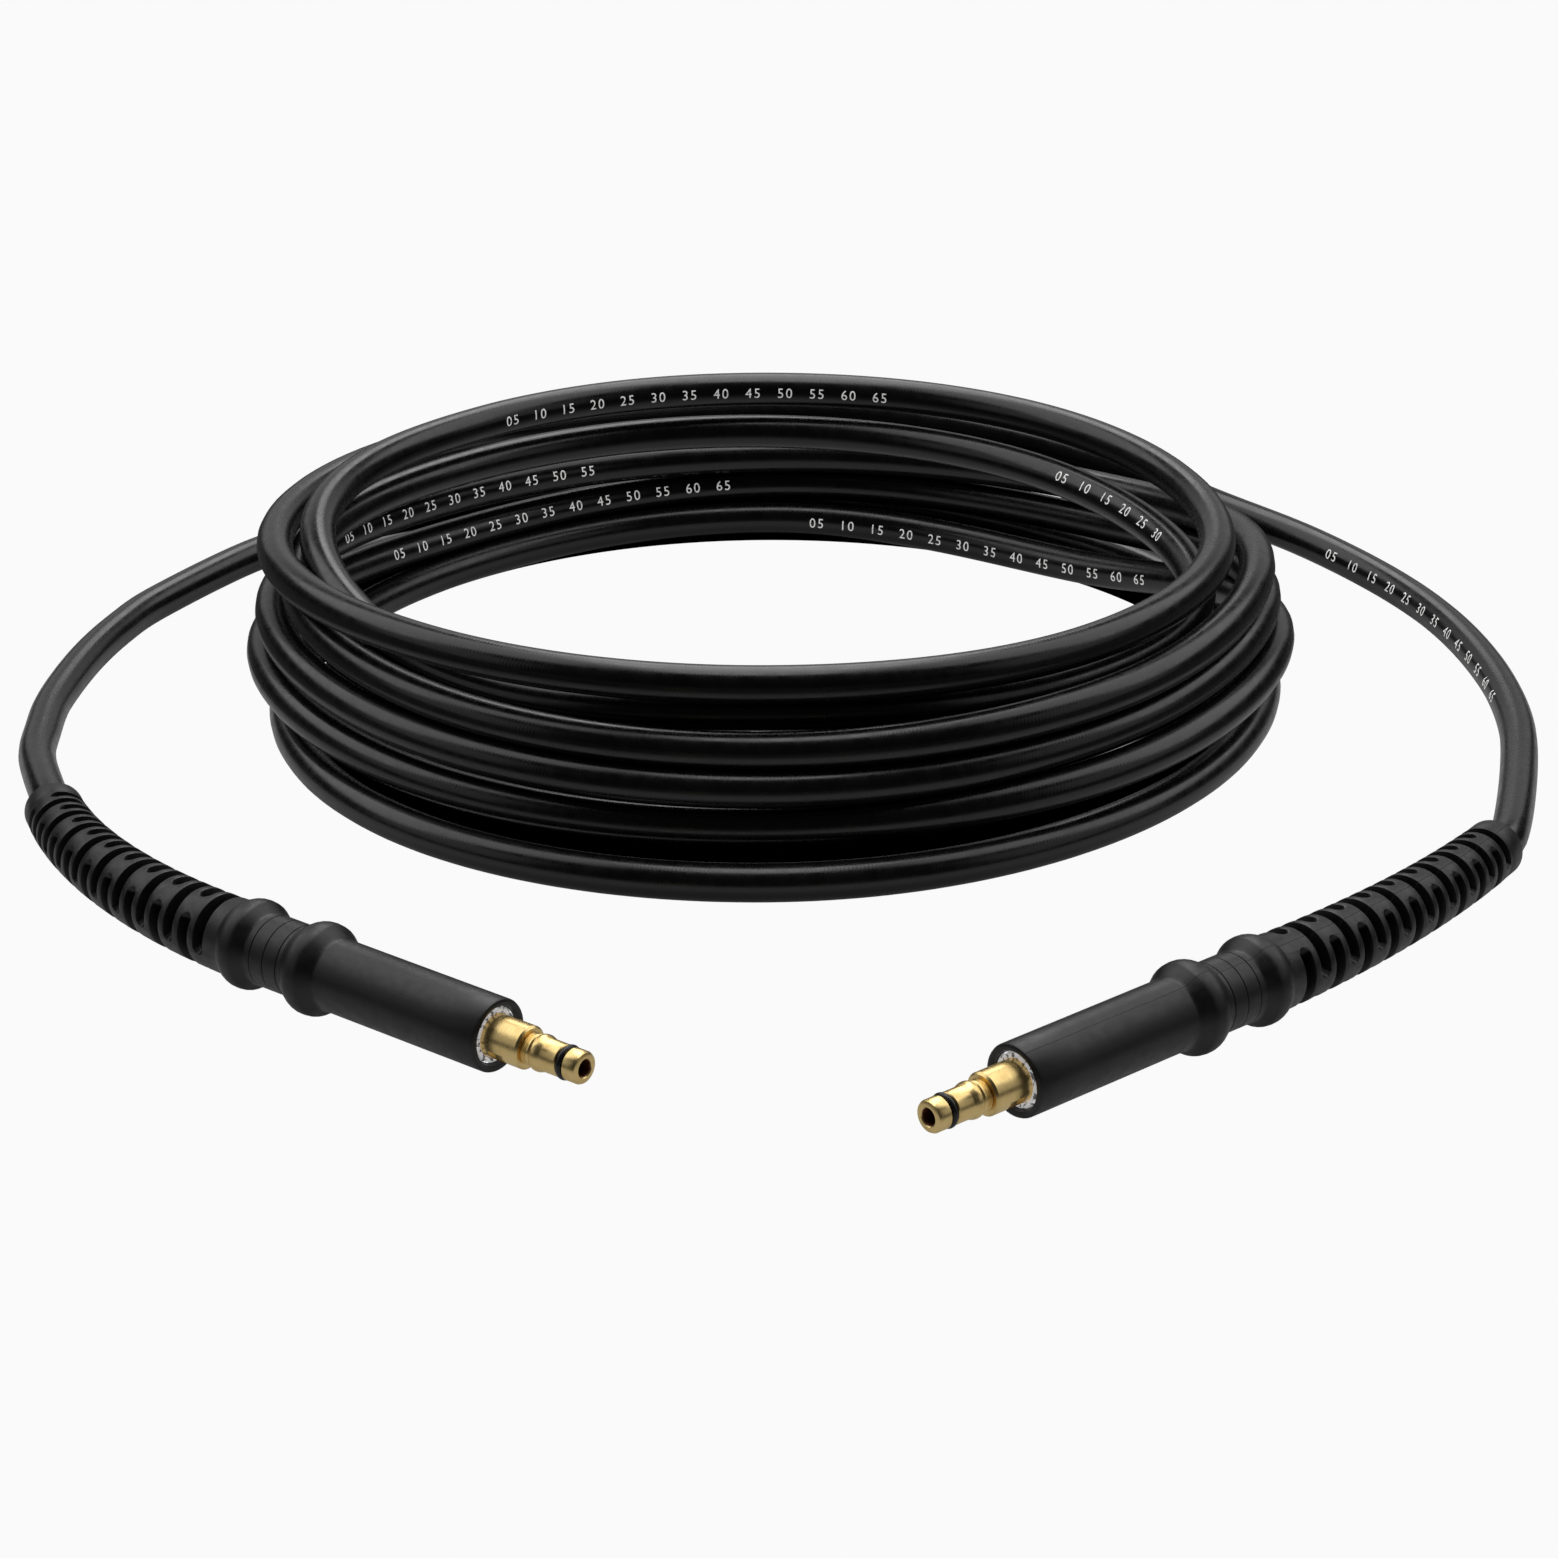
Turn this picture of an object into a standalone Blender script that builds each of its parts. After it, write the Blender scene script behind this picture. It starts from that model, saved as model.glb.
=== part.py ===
"""Pressure washer hose: a rubber hose in a loose round coil, with an alike fitting on each end.

Each fitting is a moulded grip with a slotted bend protector, a steel ferrule in the grip's mouth, a
brass plug nipple and its O-ring. The hose lies on the floor, z = 0, and the origin is on the floor
in the middle of the two fittings. Metres, +Z up; the fittings lie in front, towards -Y.
"""

import math

import bmesh
import bpy
from mathutils import Matrix, Vector

COLLECTION = "pressure_washer_hose"
GAP = 0.0003

# Hose
HOSE_DIAMETER = 0.0105
HOSE_RADIUS = HOSE_DIAMETER / 2
TUBE_POINT_SPACING = 0.023
LEAD_IN = 0.014
ROUTE_STEPS = 24

# Coil: each row of turns is a flat ring of hose as wide as the turns of that row wander
COIL_CENTRE = (0.0015, 0.1920)
COIL_STEPS = 64
TURN_ARC_STEPS = 3
TURN_ARC = math.radians(116)
ROW_RADII = (0.1423, 0.1387, 0.1372, 0.1300, 0.1255, 0.1265)
ROW_WANDERS = (0.0016, 0.0085, 0.0060, 0.0105, 0.0080, 0.0070)
ROW_PITCH = 0.0100

# Route of each free tail, chosen by hand: x, y and height, from the coil to the grip
LEFT_TAIL = (
    (0.0968, 0.3140, 0.00525),
    (0.0758, 0.3312, 0.00525),
    (0.0437, 0.3494, 0.00525),
    (0.0015, 0.3610, 0.00525),
    (-0.0501, 0.3609, 0.00525),
    (-0.1052, 0.3444, 0.00525),
    (-0.1419, 0.3211, 0.00525),
    (-0.1634, 0.3002, 0.00525),
    (-0.1874, 0.2593, 0.00525),
    (-0.1965, 0.2361, 0.00525),
    (-0.2030, 0.2096, 0.00525),
    (-0.2070, 0.1779, 0.00525),
    (-0.2068, 0.1550, 0.00540),
    (-0.2049, 0.1329, 0.00590),
)
RIGHT_TAIL = (
    (-0.0964, 0.2970, 0.04950),
    (-0.0777, 0.3180, 0.04520),
    (-0.0469, 0.3408, 0.03980),
    (-0.0071, 0.3558, 0.03520),
    (0.0374, 0.3607, 0.03160),
    (0.0813, 0.3556, 0.02550),
    (0.1194, 0.3429, 0.01780),
    (0.1470, 0.3277, 0.01130),
    (0.1727, 0.3060, 0.00740),
    (0.1941, 0.2743, 0.00530),
    (0.2070, 0.2390, 0.00525),
    (0.2140, 0.2000, 0.00525),
    (0.2151, 0.1626, 0.00525),
    (0.2104, 0.1260, 0.00580),
)

# Grip, from its mouth to its rear collar
GRIP_SIDES = 20
SLEEVE_RADIUS = 0.00935
SLEEVE_LENGTH = 0.0525
MOUTH_ROUNDING = 0.0006
FRONT_BULGE_RADIUS = 0.0120
FRONT_BULGE_LENGTH = 0.0125
WAIST_RADIUS = 0.0094
WAIST_LENGTH = 0.0115
REAR_BULGE_RADIUS = 0.0117
REAR_BULGE_LENGTH = 0.0105
PROTECTOR_FRONT_RADIUS = 0.0100
PROTECTOR_REAR_RADIUS = 0.0081
PROTECTOR_LENGTH = 0.1160
PROTECTOR_SHOULDER = 0.0030
COLLAR_LENGTH = 0.0065
COLLAR_ROUNDING = 0.0005
SLOT_ROWS = 18
SLOT_WIDTH = 0.0035
SLOT_DEPTH = 0.0026
SLOT_SEGMENTS = 8

# Fine steps of each bulge, as shares of its length and of its rise over what lies beside it
BULGE_SHAPE = ((0.10, 0.08), (0.28, 0.62), (0.42, 0.96), (0.64, 1.0), (0.82, 0.66), (0.96, 0.10))

# Metal parts in the grip's mouth
NIPPLE_SIDES = 16
SHANK_RADIUS = 0.00515
SHANK_LENGTH = 0.0200
FERRULE_RADIUS = 0.0071
FERRULE_RECESS = 0.0012
FERRULE_CHAMFER = 0.0004
STEM_RADIUS = 0.0050
STEM_LENGTH = 0.0095
NECK_RADIUS = 0.0038
NECK_LENGTH = 0.0022
NECK_RING_RADIUS = 0.0043
NECK_RING_LENGTH = 0.0010
SEAT_RADIUS = 0.0047
SEAT_LENGTH = 0.0021
SEAT_TAPER = 0.0010
PLUG_RADIUS = 0.00415
PLUG_LENGTH = 0.0054
END_RING_LENGTH = 0.0041
END_CHAMFER = 0.0006
WATER_BORE_RADIUS = 0.0019
SEAL_RADIUS = 0.00365
SEAL_THICKNESS = 0.0016
SEAL_SIDES = 6

# Place of each fitting: its mouth's centre on the floor plan, its heading, how far its bend
# protector turns, and how far the moulding is rolled about its axis
LEFT_MOUTH = (-0.0637, -0.0537)
LEFT_HEADING = math.radians(-38.7)
LEFT_TURN = math.radians(-34)
LEFT_ROLL = math.radians(58)
RIGHT_MOUTH = (0.0586, -0.0775)
RIGHT_HEADING = math.radians(-138.7)
RIGHT_TURN = math.radians(19)
RIGHT_ROLL = math.radians(22)

RUBBER_COLOUR = (0.022, 0.022, 0.024, 1)
GRIP_COLOUR = (0.030, 0.030, 0.032, 1)
SEAL_COLOUR = (0.012, 0.012, 0.012, 1)
STEEL_COLOUR = (0.75, 0.76, 0.78, 1)
BRASS_COLOUR = (0.76, 0.56, 0.25, 1)


def clear_scene():
    """Remove every object, so that the script can run twice."""
    for thing in list(bpy.data.objects):
        bpy.data.objects.remove(thing, do_unlink=True)


def new_collection(name):
    """An empty collection of the scene."""
    collection = bpy.data.collections.new(name)
    bpy.context.scene.collection.children.link(collection)
    return collection


def material(name, colour, roughness, metallic=0.0):
    """A Principled material of one colour."""
    made = bpy.data.materials.new(name)
    made.use_nodes = True
    shader = made.node_tree.nodes["Principled BSDF"]
    shader.inputs["Base Color"].default_value = colour
    shader.inputs["Roughness"].default_value = roughness
    shader.inputs["Metallic"].default_value = metallic
    return made


def add_object(name, data, collection, finish, parent=None):
    """A named object with its own material, in its parent's space if it has one."""
    made = bpy.data.objects.new(name, data)
    data.materials.append(finish)
    collection.objects.link(made)
    made.parent = parent
    return made


def turned_object(name, outline, closed, steps, collection, finish, parent=None):
    """A solid turned about Z from an outline of (radius, height) points, with a Screw modifier."""
    mesh = bpy.data.meshes.new(name)
    edges = [(i, i + 1) for i in range(len(outline) - 1)]
    if closed:
        edges.append((len(outline) - 1, 0))
    mesh.from_pydata([(radius, 0, height) for radius, height in outline], edges, [])
    made = add_object(name, mesh, collection, finish, parent)
    screw = made.modifiers.new("turned", "SCREW")
    screw.axis = "Z"
    screw.angle = 2 * math.pi
    screw.steps = steps
    screw.render_steps = steps
    screw.use_merge_vertices = True
    screw.merge_threshold = 0.00001
    screw.use_smooth_shade = True
    return made


def smooth_route(points, spacing):
    """Points a spacing apart on a smooth curve through the hand-chosen points."""
    ends = [2 * points[0] - points[1]] + points + [2 * points[-1] - points[-2]]
    fine = []
    for before, start, stop, after in zip(ends, ends[1:], ends[2:], ends[3:]):
        for step in range(ROUTE_STEPS):
            t = step / ROUTE_STEPS
            pull = (stop - before) * t
            bend = (2 * before - 5 * start + 4 * stop - after) * t**2
            swing = (3 * start - before - 3 * stop + after) * t**3
            fine.append(start + (pull + bend + swing) / 2)
    fine.append(points[-1])
    travelled = [0.0]
    for here, there in zip(fine, fine[1:]):
        travelled.append(travelled[-1] + (there - here).length)
    count = max(2, round(travelled[-1] / spacing))
    route = []
    at = 0
    for i in range(count + 1):
        wanted = travelled[-1] * i / count
        while at < len(fine) - 2 and travelled[at + 1] < wanted:
            at += 1
        share = (wanted - travelled[at]) / (travelled[at + 1] - travelled[at])
        route.append(fine[at].lerp(fine[at + 1], min(share, 1.0)))
    return route


def coil_outline():
    """Section of the coil: one rounded bump for each row of turns on the outside and the inside."""
    heights = [HOSE_RADIUS + row * ROW_PITCH for row in range(len(ROW_RADII))]
    rows = list(zip(ROW_RADII, ROW_WANDERS, heights))

    def side(outward):
        points = []
        ordered = reversed(rows) if outward > 0 else rows
        for radius, wander, height in ordered:
            for step in range(TURN_ARC_STEPS + 1):
                tilt = TURN_ARC * (0.5 - step / TURN_ARC_STEPS) * outward
                reach = wander + HOSE_RADIUS * math.cos(tilt)
                points.append((radius + outward * reach, height + HOSE_RADIUS * math.sin(tilt)))
        return points

    top_radius, top_wander, top_height = rows[-1]
    bottom_radius, bottom_wander, bottom_height = rows[0]
    top = top_height + HOSE_RADIUS
    bottom = bottom_height - HOSE_RADIUS
    outline = [(top_radius + top_wander, top)]
    outline += side(1)
    outline += [(bottom_radius + bottom_wander, bottom), (bottom_radius - bottom_wander, bottom)]
    outline += side(-1)
    outline.append((top_radius - top_wander, top))
    return outline


def build_coil(collection):
    """The coiled length of hose as one turned ring with its bore."""
    finish = material("hose_coil_rubber", RUBBER_COLOUR, 0.45)
    coil = turned_object("hose_coil", coil_outline(), True, COIL_STEPS, collection, finish)
    coil.location = (*COIL_CENTRE, 0)
    return coil


def build_tail(name, points, grip_end, grip_direction, collection):
    """A free length of hose from the coil to the rear face of its grip."""
    last = grip_end + GAP * grip_direction
    lead_in = last + LEAD_IN * grip_direction
    route = smooth_route([Vector(point) for point in points] + [lead_in], TUBE_POINT_SPACING)
    route.append(last)
    curve = bpy.data.curves.new(name, "CURVE")
    curve.dimensions = "3D"
    curve.bevel_depth = HOSE_RADIUS
    curve.bevel_resolution = 2
    curve.use_fill_caps = True
    spline = curve.splines.new("POLY")
    spline.points.add(len(route) - 1)
    for point, place in zip(spline.points, route):
        point.co = (*place, 1)
    return add_object(name, curve, collection, material(name + "_rubber", RUBBER_COLOUR, 0.45))


def grip_behind():
    """Distances behind the mouth of the places where the grip changes shape."""
    front_bulge = SLEEVE_LENGTH
    waist = front_bulge + FRONT_BULGE_LENGTH
    rear_bulge = waist + WAIST_LENGTH
    protector = rear_bulge + REAR_BULGE_LENGTH
    return front_bulge, waist, rear_bulge, protector, protector + PROTECTOR_LENGTH


def bulge_points(start, length, before, peak, after):
    """Points of one round bulge, which rises from one radius and falls to another."""
    points = []
    for share, rise in BULGE_SHAPE:
        foot = before if share < 0.5 else after
        points.append((foot + (peak - foot) * rise, -(start + share * length)))
    return points


def slot_rows():
    """Where each row of slots starts and stops behind the mouth, from the collar forwards."""
    protector, rear = grip_behind()[3:]
    slotted = PROTECTOR_LENGTH - PROTECTOR_SHOULDER - COLLAR_LENGTH
    pitch = slotted / SLOT_ROWS
    rows = []
    for row in range(SLOT_ROWS):
        middle = rear - COLLAR_LENGTH - (row + 0.5) * pitch
        rows.append((middle - SLOT_WIDTH / 2, middle + SLOT_WIDTH / 2))
    return rows


def protector_radius(behind):
    """Outer radius of the bend protector, which tapers evenly towards the collar."""
    protector = grip_behind()[3]
    share = (behind - protector) / PROTECTOR_LENGTH
    return PROTECTOR_FRONT_RADIUS + (PROTECTOR_REAR_RADIUS - PROTECTOR_FRONT_RADIUS) * share


def grip_outline():
    """Half section of the straight grip: up the mouth's bore, then down the outside to the rear."""
    front_bulge, waist, rear_bulge, protector, rear = grip_behind()
    bore = FERRULE_RADIUS + GAP
    floor = -(SHANK_LENGTH + GAP)
    outline = [(0, floor), (bore, floor), (bore, 0)]
    outline += [(SLEEVE_RADIUS - MOUTH_ROUNDING, 0), (SLEEVE_RADIUS, -MOUTH_ROUNDING)]
    outline.append((SLEEVE_RADIUS, -front_bulge))
    outline += bulge_points(
        front_bulge, FRONT_BULGE_LENGTH, SLEEVE_RADIUS, FRONT_BULGE_RADIUS, WAIST_RADIUS
    )
    outline += [(WAIST_RADIUS, -waist), (WAIST_RADIUS, -rear_bulge)]
    outline += bulge_points(
        rear_bulge, REAR_BULGE_LENGTH, WAIST_RADIUS, REAR_BULGE_RADIUS, PROTECTOR_FRONT_RADIUS
    )
    outline.append((PROTECTOR_FRONT_RADIUS, -protector))
    for start, stop in reversed(slot_rows()):
        outline += [(protector_radius(start), -start), (protector_radius(stop), -stop)]
    collar = rear - COLLAR_ROUNDING
    outline += [(PROTECTOR_REAR_RADIUS, -collar), (PROTECTOR_REAR_RADIUS - COLLAR_ROUNDING, -rear)]
    outline.append((0, -rear))
    return outline


def cut_slots(mesh):
    """Sink the slots: two wide ones in each row, turned a quarter from one row to the next."""
    shape = bmesh.new()
    shape.from_mesh(mesh)
    half_span = math.pi * SLOT_SEGMENTS / GRIP_SIDES
    for row, (start, stop) in enumerate(slot_rows()):
        for centre in (0, math.pi):
            middle = centre + (row % 2) * math.pi / 2
            chosen = []
            for face in shape.faces:
                place = face.calc_center_median()
                off = math.remainder(math.atan2(place.x, place.y) - middle, 2 * math.pi)
                outside = math.hypot(place.x, place.y) > PROTECTOR_REAR_RADIUS / 2
                if outside and start < -place.z < stop and abs(off) < half_span:
                    chosen.append(face)
            sunk = bmesh.ops.extrude_face_region(shape, geom=chosen)["geom"]
            bmesh.ops.delete(shape, geom=chosen, context="FACES")
            for corner in [v for v in sunk if isinstance(v, bmesh.types.BMVert)]:
                radius = math.hypot(corner.co.x, corner.co.y)
                share = (radius - SLOT_DEPTH) / radius
                corner.co.x *= share
                corner.co.y *= share
    bmesh.ops.recalc_face_normals(shape, faces=shape.faces[:])
    shape.to_mesh(mesh)
    shape.free()


def protector_drop():
    """How far the grip's axis comes down so that its collar lies on the floor, as its bulge does."""
    return FRONT_BULGE_RADIUS - PROTECTOR_REAR_RADIUS


def grip_axis(behind, turn):
    """Place, sideways direction and forward direction of the grip's axis, in the fitting's space."""
    protector = grip_behind()[3]
    along = max(0.0, behind - protector)
    if not along:
        return Vector((0, 0, -behind)), Vector((1, 0, 0)), Vector((0, 0, 1))
    share = min(1.0, along / PROTECTOR_LENGTH)
    angle = turn * share
    radius = PROTECTOR_LENGTH / turn
    # Eased so that the tapering underside comes down to the floor without dipping below it
    drop = protector_drop() * share * share * (2.5 - 1.5 * share)
    place = Vector((-radius * (1 - math.cos(angle)), -drop, -protector - radius * math.sin(angle)))
    sideways = Vector((math.cos(angle), 0, -math.sin(angle)))
    return place, sideways, Vector((math.sin(angle), 0, math.cos(angle)))


def build_grip(name, turn, roll, collection, parent):
    """The moulded grip: turned straight, slotted, then rolled and bent as the hose lies."""
    finish = material(name + "_rubber", GRIP_COLOUR, 0.55)
    straight = turned_object(
        name + "_straight", grip_outline(), False, GRIP_SIDES, collection, finish
    )
    bpy.context.view_layer.update()
    evaluated = straight.evaluated_get(bpy.context.evaluated_depsgraph_get())
    mesh = bpy.data.meshes.new_from_object(evaluated)
    bpy.data.objects.remove(straight, do_unlink=True)
    cut_slots(mesh)
    for corner in mesh.vertices:
        across = Matrix.Rotation(-roll, 2) @ corner.co.xy
        place, sideways, _ = grip_axis(-corner.co.z, turn)
        corner.co = place + across.x * sideways + across.y * Vector((0, 1, 0))
    mesh.name = name
    mesh.materials.clear()
    mesh.shade_smooth()
    mesh.set_sharp_from_angle(angle=math.radians(35))
    return add_object(name, mesh, collection, finish, parent)


def seal_groove():
    """Radius of the O-ring groove's floor and the groove's width."""
    return SEAL_RADIUS - SEAL_THICKNESS / 2 - GAP, SEAL_THICKNESS + 2 * GAP


def nipple_outline():
    """Closed half section of the brass nipple: down its outside and back up its water bore."""
    groove_radius, groove_width = seal_groove()
    lengths = (
        END_RING_LENGTH,
        groove_width,
        PLUG_LENGTH,
        SEAT_TAPER,
        SEAT_LENGTH,
        NECK_RING_LENGTH,
        NECK_LENGTH,
        STEM_LENGTH,
    )
    top = sum(lengths)
    levels = [top]
    for length in lengths:
        levels.append(levels[-1] - length)
    ring, groove, plug, taper, seat, neck_ring, neck, stem = levels[1:]
    outline = [(PLUG_RADIUS - END_CHAMFER, top), (PLUG_RADIUS, top - END_CHAMFER)]
    outline += [(PLUG_RADIUS, ring), (groove_radius, ring), (groove_radius, groove)]
    outline += [(PLUG_RADIUS, groove), (PLUG_RADIUS, plug), (SEAT_RADIUS, taper)]
    outline += [(SEAT_RADIUS, seat), (NECK_RING_RADIUS, seat), (NECK_RING_RADIUS, neck_ring)]
    outline += [(NECK_RADIUS, neck_ring), (NECK_RADIUS, neck), (STEM_RADIUS, neck)]
    outline += [(STEM_RADIUS, stem), (SHANK_RADIUS, stem), (SHANK_RADIUS, -SHANK_LENGTH)]
    outline += [(WATER_BORE_RADIUS, -SHANK_LENGTH), (WATER_BORE_RADIUS, top)]
    return outline, (ring + groove) / 2


def build_metal(side, collection, parent):
    """Nipple, O-ring and ferrule of one fitting."""
    outline, seal_height = nipple_outline()
    brass = material(side + "_nipple_brass", BRASS_COLOUR, 0.25, 1.0)
    turned_object(side + "_nipple", outline, True, NIPPLE_SIDES, collection, brass, parent)

    corners = []
    for corner in range(SEAL_SIDES):
        angle = -2 * math.pi * corner / SEAL_SIDES
        out = SEAL_RADIUS + SEAL_THICKNESS / 2 * math.cos(angle)
        corners.append((out, seal_height + SEAL_THICKNESS / 2 * math.sin(angle)))
    rubber = material(side + "_o_ring_rubber", SEAL_COLOUR, 0.4)
    turned_object(side + "_o_ring", corners, True, NIPPLE_SIDES, collection, rubber, parent)

    inside = SHANK_RADIUS + GAP
    front = -FERRULE_RECESS
    section = [(FERRULE_RADIUS - FERRULE_CHAMFER, front), (FERRULE_RADIUS, front - FERRULE_CHAMFER)]
    section += [(FERRULE_RADIUS, -SHANK_LENGTH), (inside, -SHANK_LENGTH), (inside, front)]
    steel = material(side + "_ferrule_steel", STEEL_COLOUR, 0.3, 1.0)
    turned_object(side + "_ferrule", section, True, NIPPLE_SIDES, collection, steel, parent)


def build_fitting(side, mouth, heading, turn, roll, collection):
    """One end fitting on its empty, and the place and direction where the hose leaves its grip."""
    forward = Vector((math.cos(heading), math.sin(heading), 0))
    sideways = Vector((-math.sin(heading), math.cos(heading), 0))
    upward = Vector((0, 0, 1))
    frame = Matrix((sideways, upward, forward)).transposed().to_4x4()
    frame.translation = Vector((*mouth, FRONT_BULGE_RADIUS))
    empty = bpy.data.objects.new(side + "_fitting", None)
    collection.objects.link(empty)
    empty.matrix_world = frame
    build_grip(side + "_grip", turn, roll, collection, empty)
    build_metal(side, collection, empty)
    end, _, ahead = grip_axis(grip_behind()[4], turn)
    return frame @ end, -(frame.to_3x3() @ ahead)


def main():
    """Build the coil, both fittings and the tails that join them."""
    clear_scene()
    collection = new_collection(COLLECTION)
    build_coil(collection)
    left_end = build_fitting("left", LEFT_MOUTH, LEFT_HEADING, LEFT_TURN, LEFT_ROLL, collection)
    right_end = build_fitting(
        "right", RIGHT_MOUTH, RIGHT_HEADING, RIGHT_TURN, RIGHT_ROLL, collection
    )
    build_tail("left_tail", LEFT_TAIL, *left_end, collection)
    build_tail("right_tail", RIGHT_TAIL, *right_end, collection)


main()
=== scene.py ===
"""Looks of the pressure washer hose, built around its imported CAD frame.

The hose is one long rubber tube in a loose coil. Each of its two ends goes into a moulded grip with
a slotted bend protector, a steel ferrule, a brass plug nipple and an O-ring. Metres, +Z up.
"""

import logging
import math
from dataclasses import dataclass, field
from enum import Enum
from typing import Callable, Iterable, Sequence

import bmesh
import bpy
from bmesh.types import BMEdge, BMesh, BMFace, BMVert
from bpy.types import Material, Mesh, Node, NodeSocket, NodeTree, Object
from mathutils import Matrix, Vector


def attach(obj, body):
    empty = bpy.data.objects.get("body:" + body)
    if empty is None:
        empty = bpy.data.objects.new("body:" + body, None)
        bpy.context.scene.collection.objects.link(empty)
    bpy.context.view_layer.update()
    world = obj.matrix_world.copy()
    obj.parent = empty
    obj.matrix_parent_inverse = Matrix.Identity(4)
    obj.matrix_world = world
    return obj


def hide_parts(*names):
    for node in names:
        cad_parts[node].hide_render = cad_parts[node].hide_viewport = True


LOG = logging.getLogger("pressure_washer_hose")
BODY = "root"
PLACE_ATTRIBUTE = "straight_place"
HOSE_UV = "hose_length_and_turn"
MERGE_DISTANCE = 0.000002
UP = Vector((0.0, 0.0, 1.0))
FULL_TURN = 2 * math.pi

Pair = tuple[float, float]
Triple = tuple[float, float, float]
Colour = tuple[float, float, float, float]
Outline = list[Pair]
Inputs = dict[str | int, object]

WHITE: Colour = (1.0, 1.0, 1.0, 1.0)


class Slot(Enum):
    """Material slots of the record, passed along with the fittings' parts but never read."""

    HOSE = "hose_rubber"
    GRIP = "grip_moulding"
    FERRULE = "ferrule_steel"
    NIPPLE = "nipple_brass"
    SEAL = "o_ring_rubber"


class Side(Enum):
    """The two ends of the hose, as the photograph shows them."""

    LEFT = "left"
    RIGHT = "right"


# Node trees


@dataclass(frozen=True)
class Patches:
    """Soft patches of a noise: features in a metre, finer layers, and where they start and end."""

    scale: float
    detail: float = 3.0
    low: float = 0.30
    high: float = 0.70


@dataclass(frozen=True)
class Grain:
    """Fine relief: features in a metre, finer layers, depth in metres and how much shows."""

    scale: float
    detail: float
    depth: float
    strength: float


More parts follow.
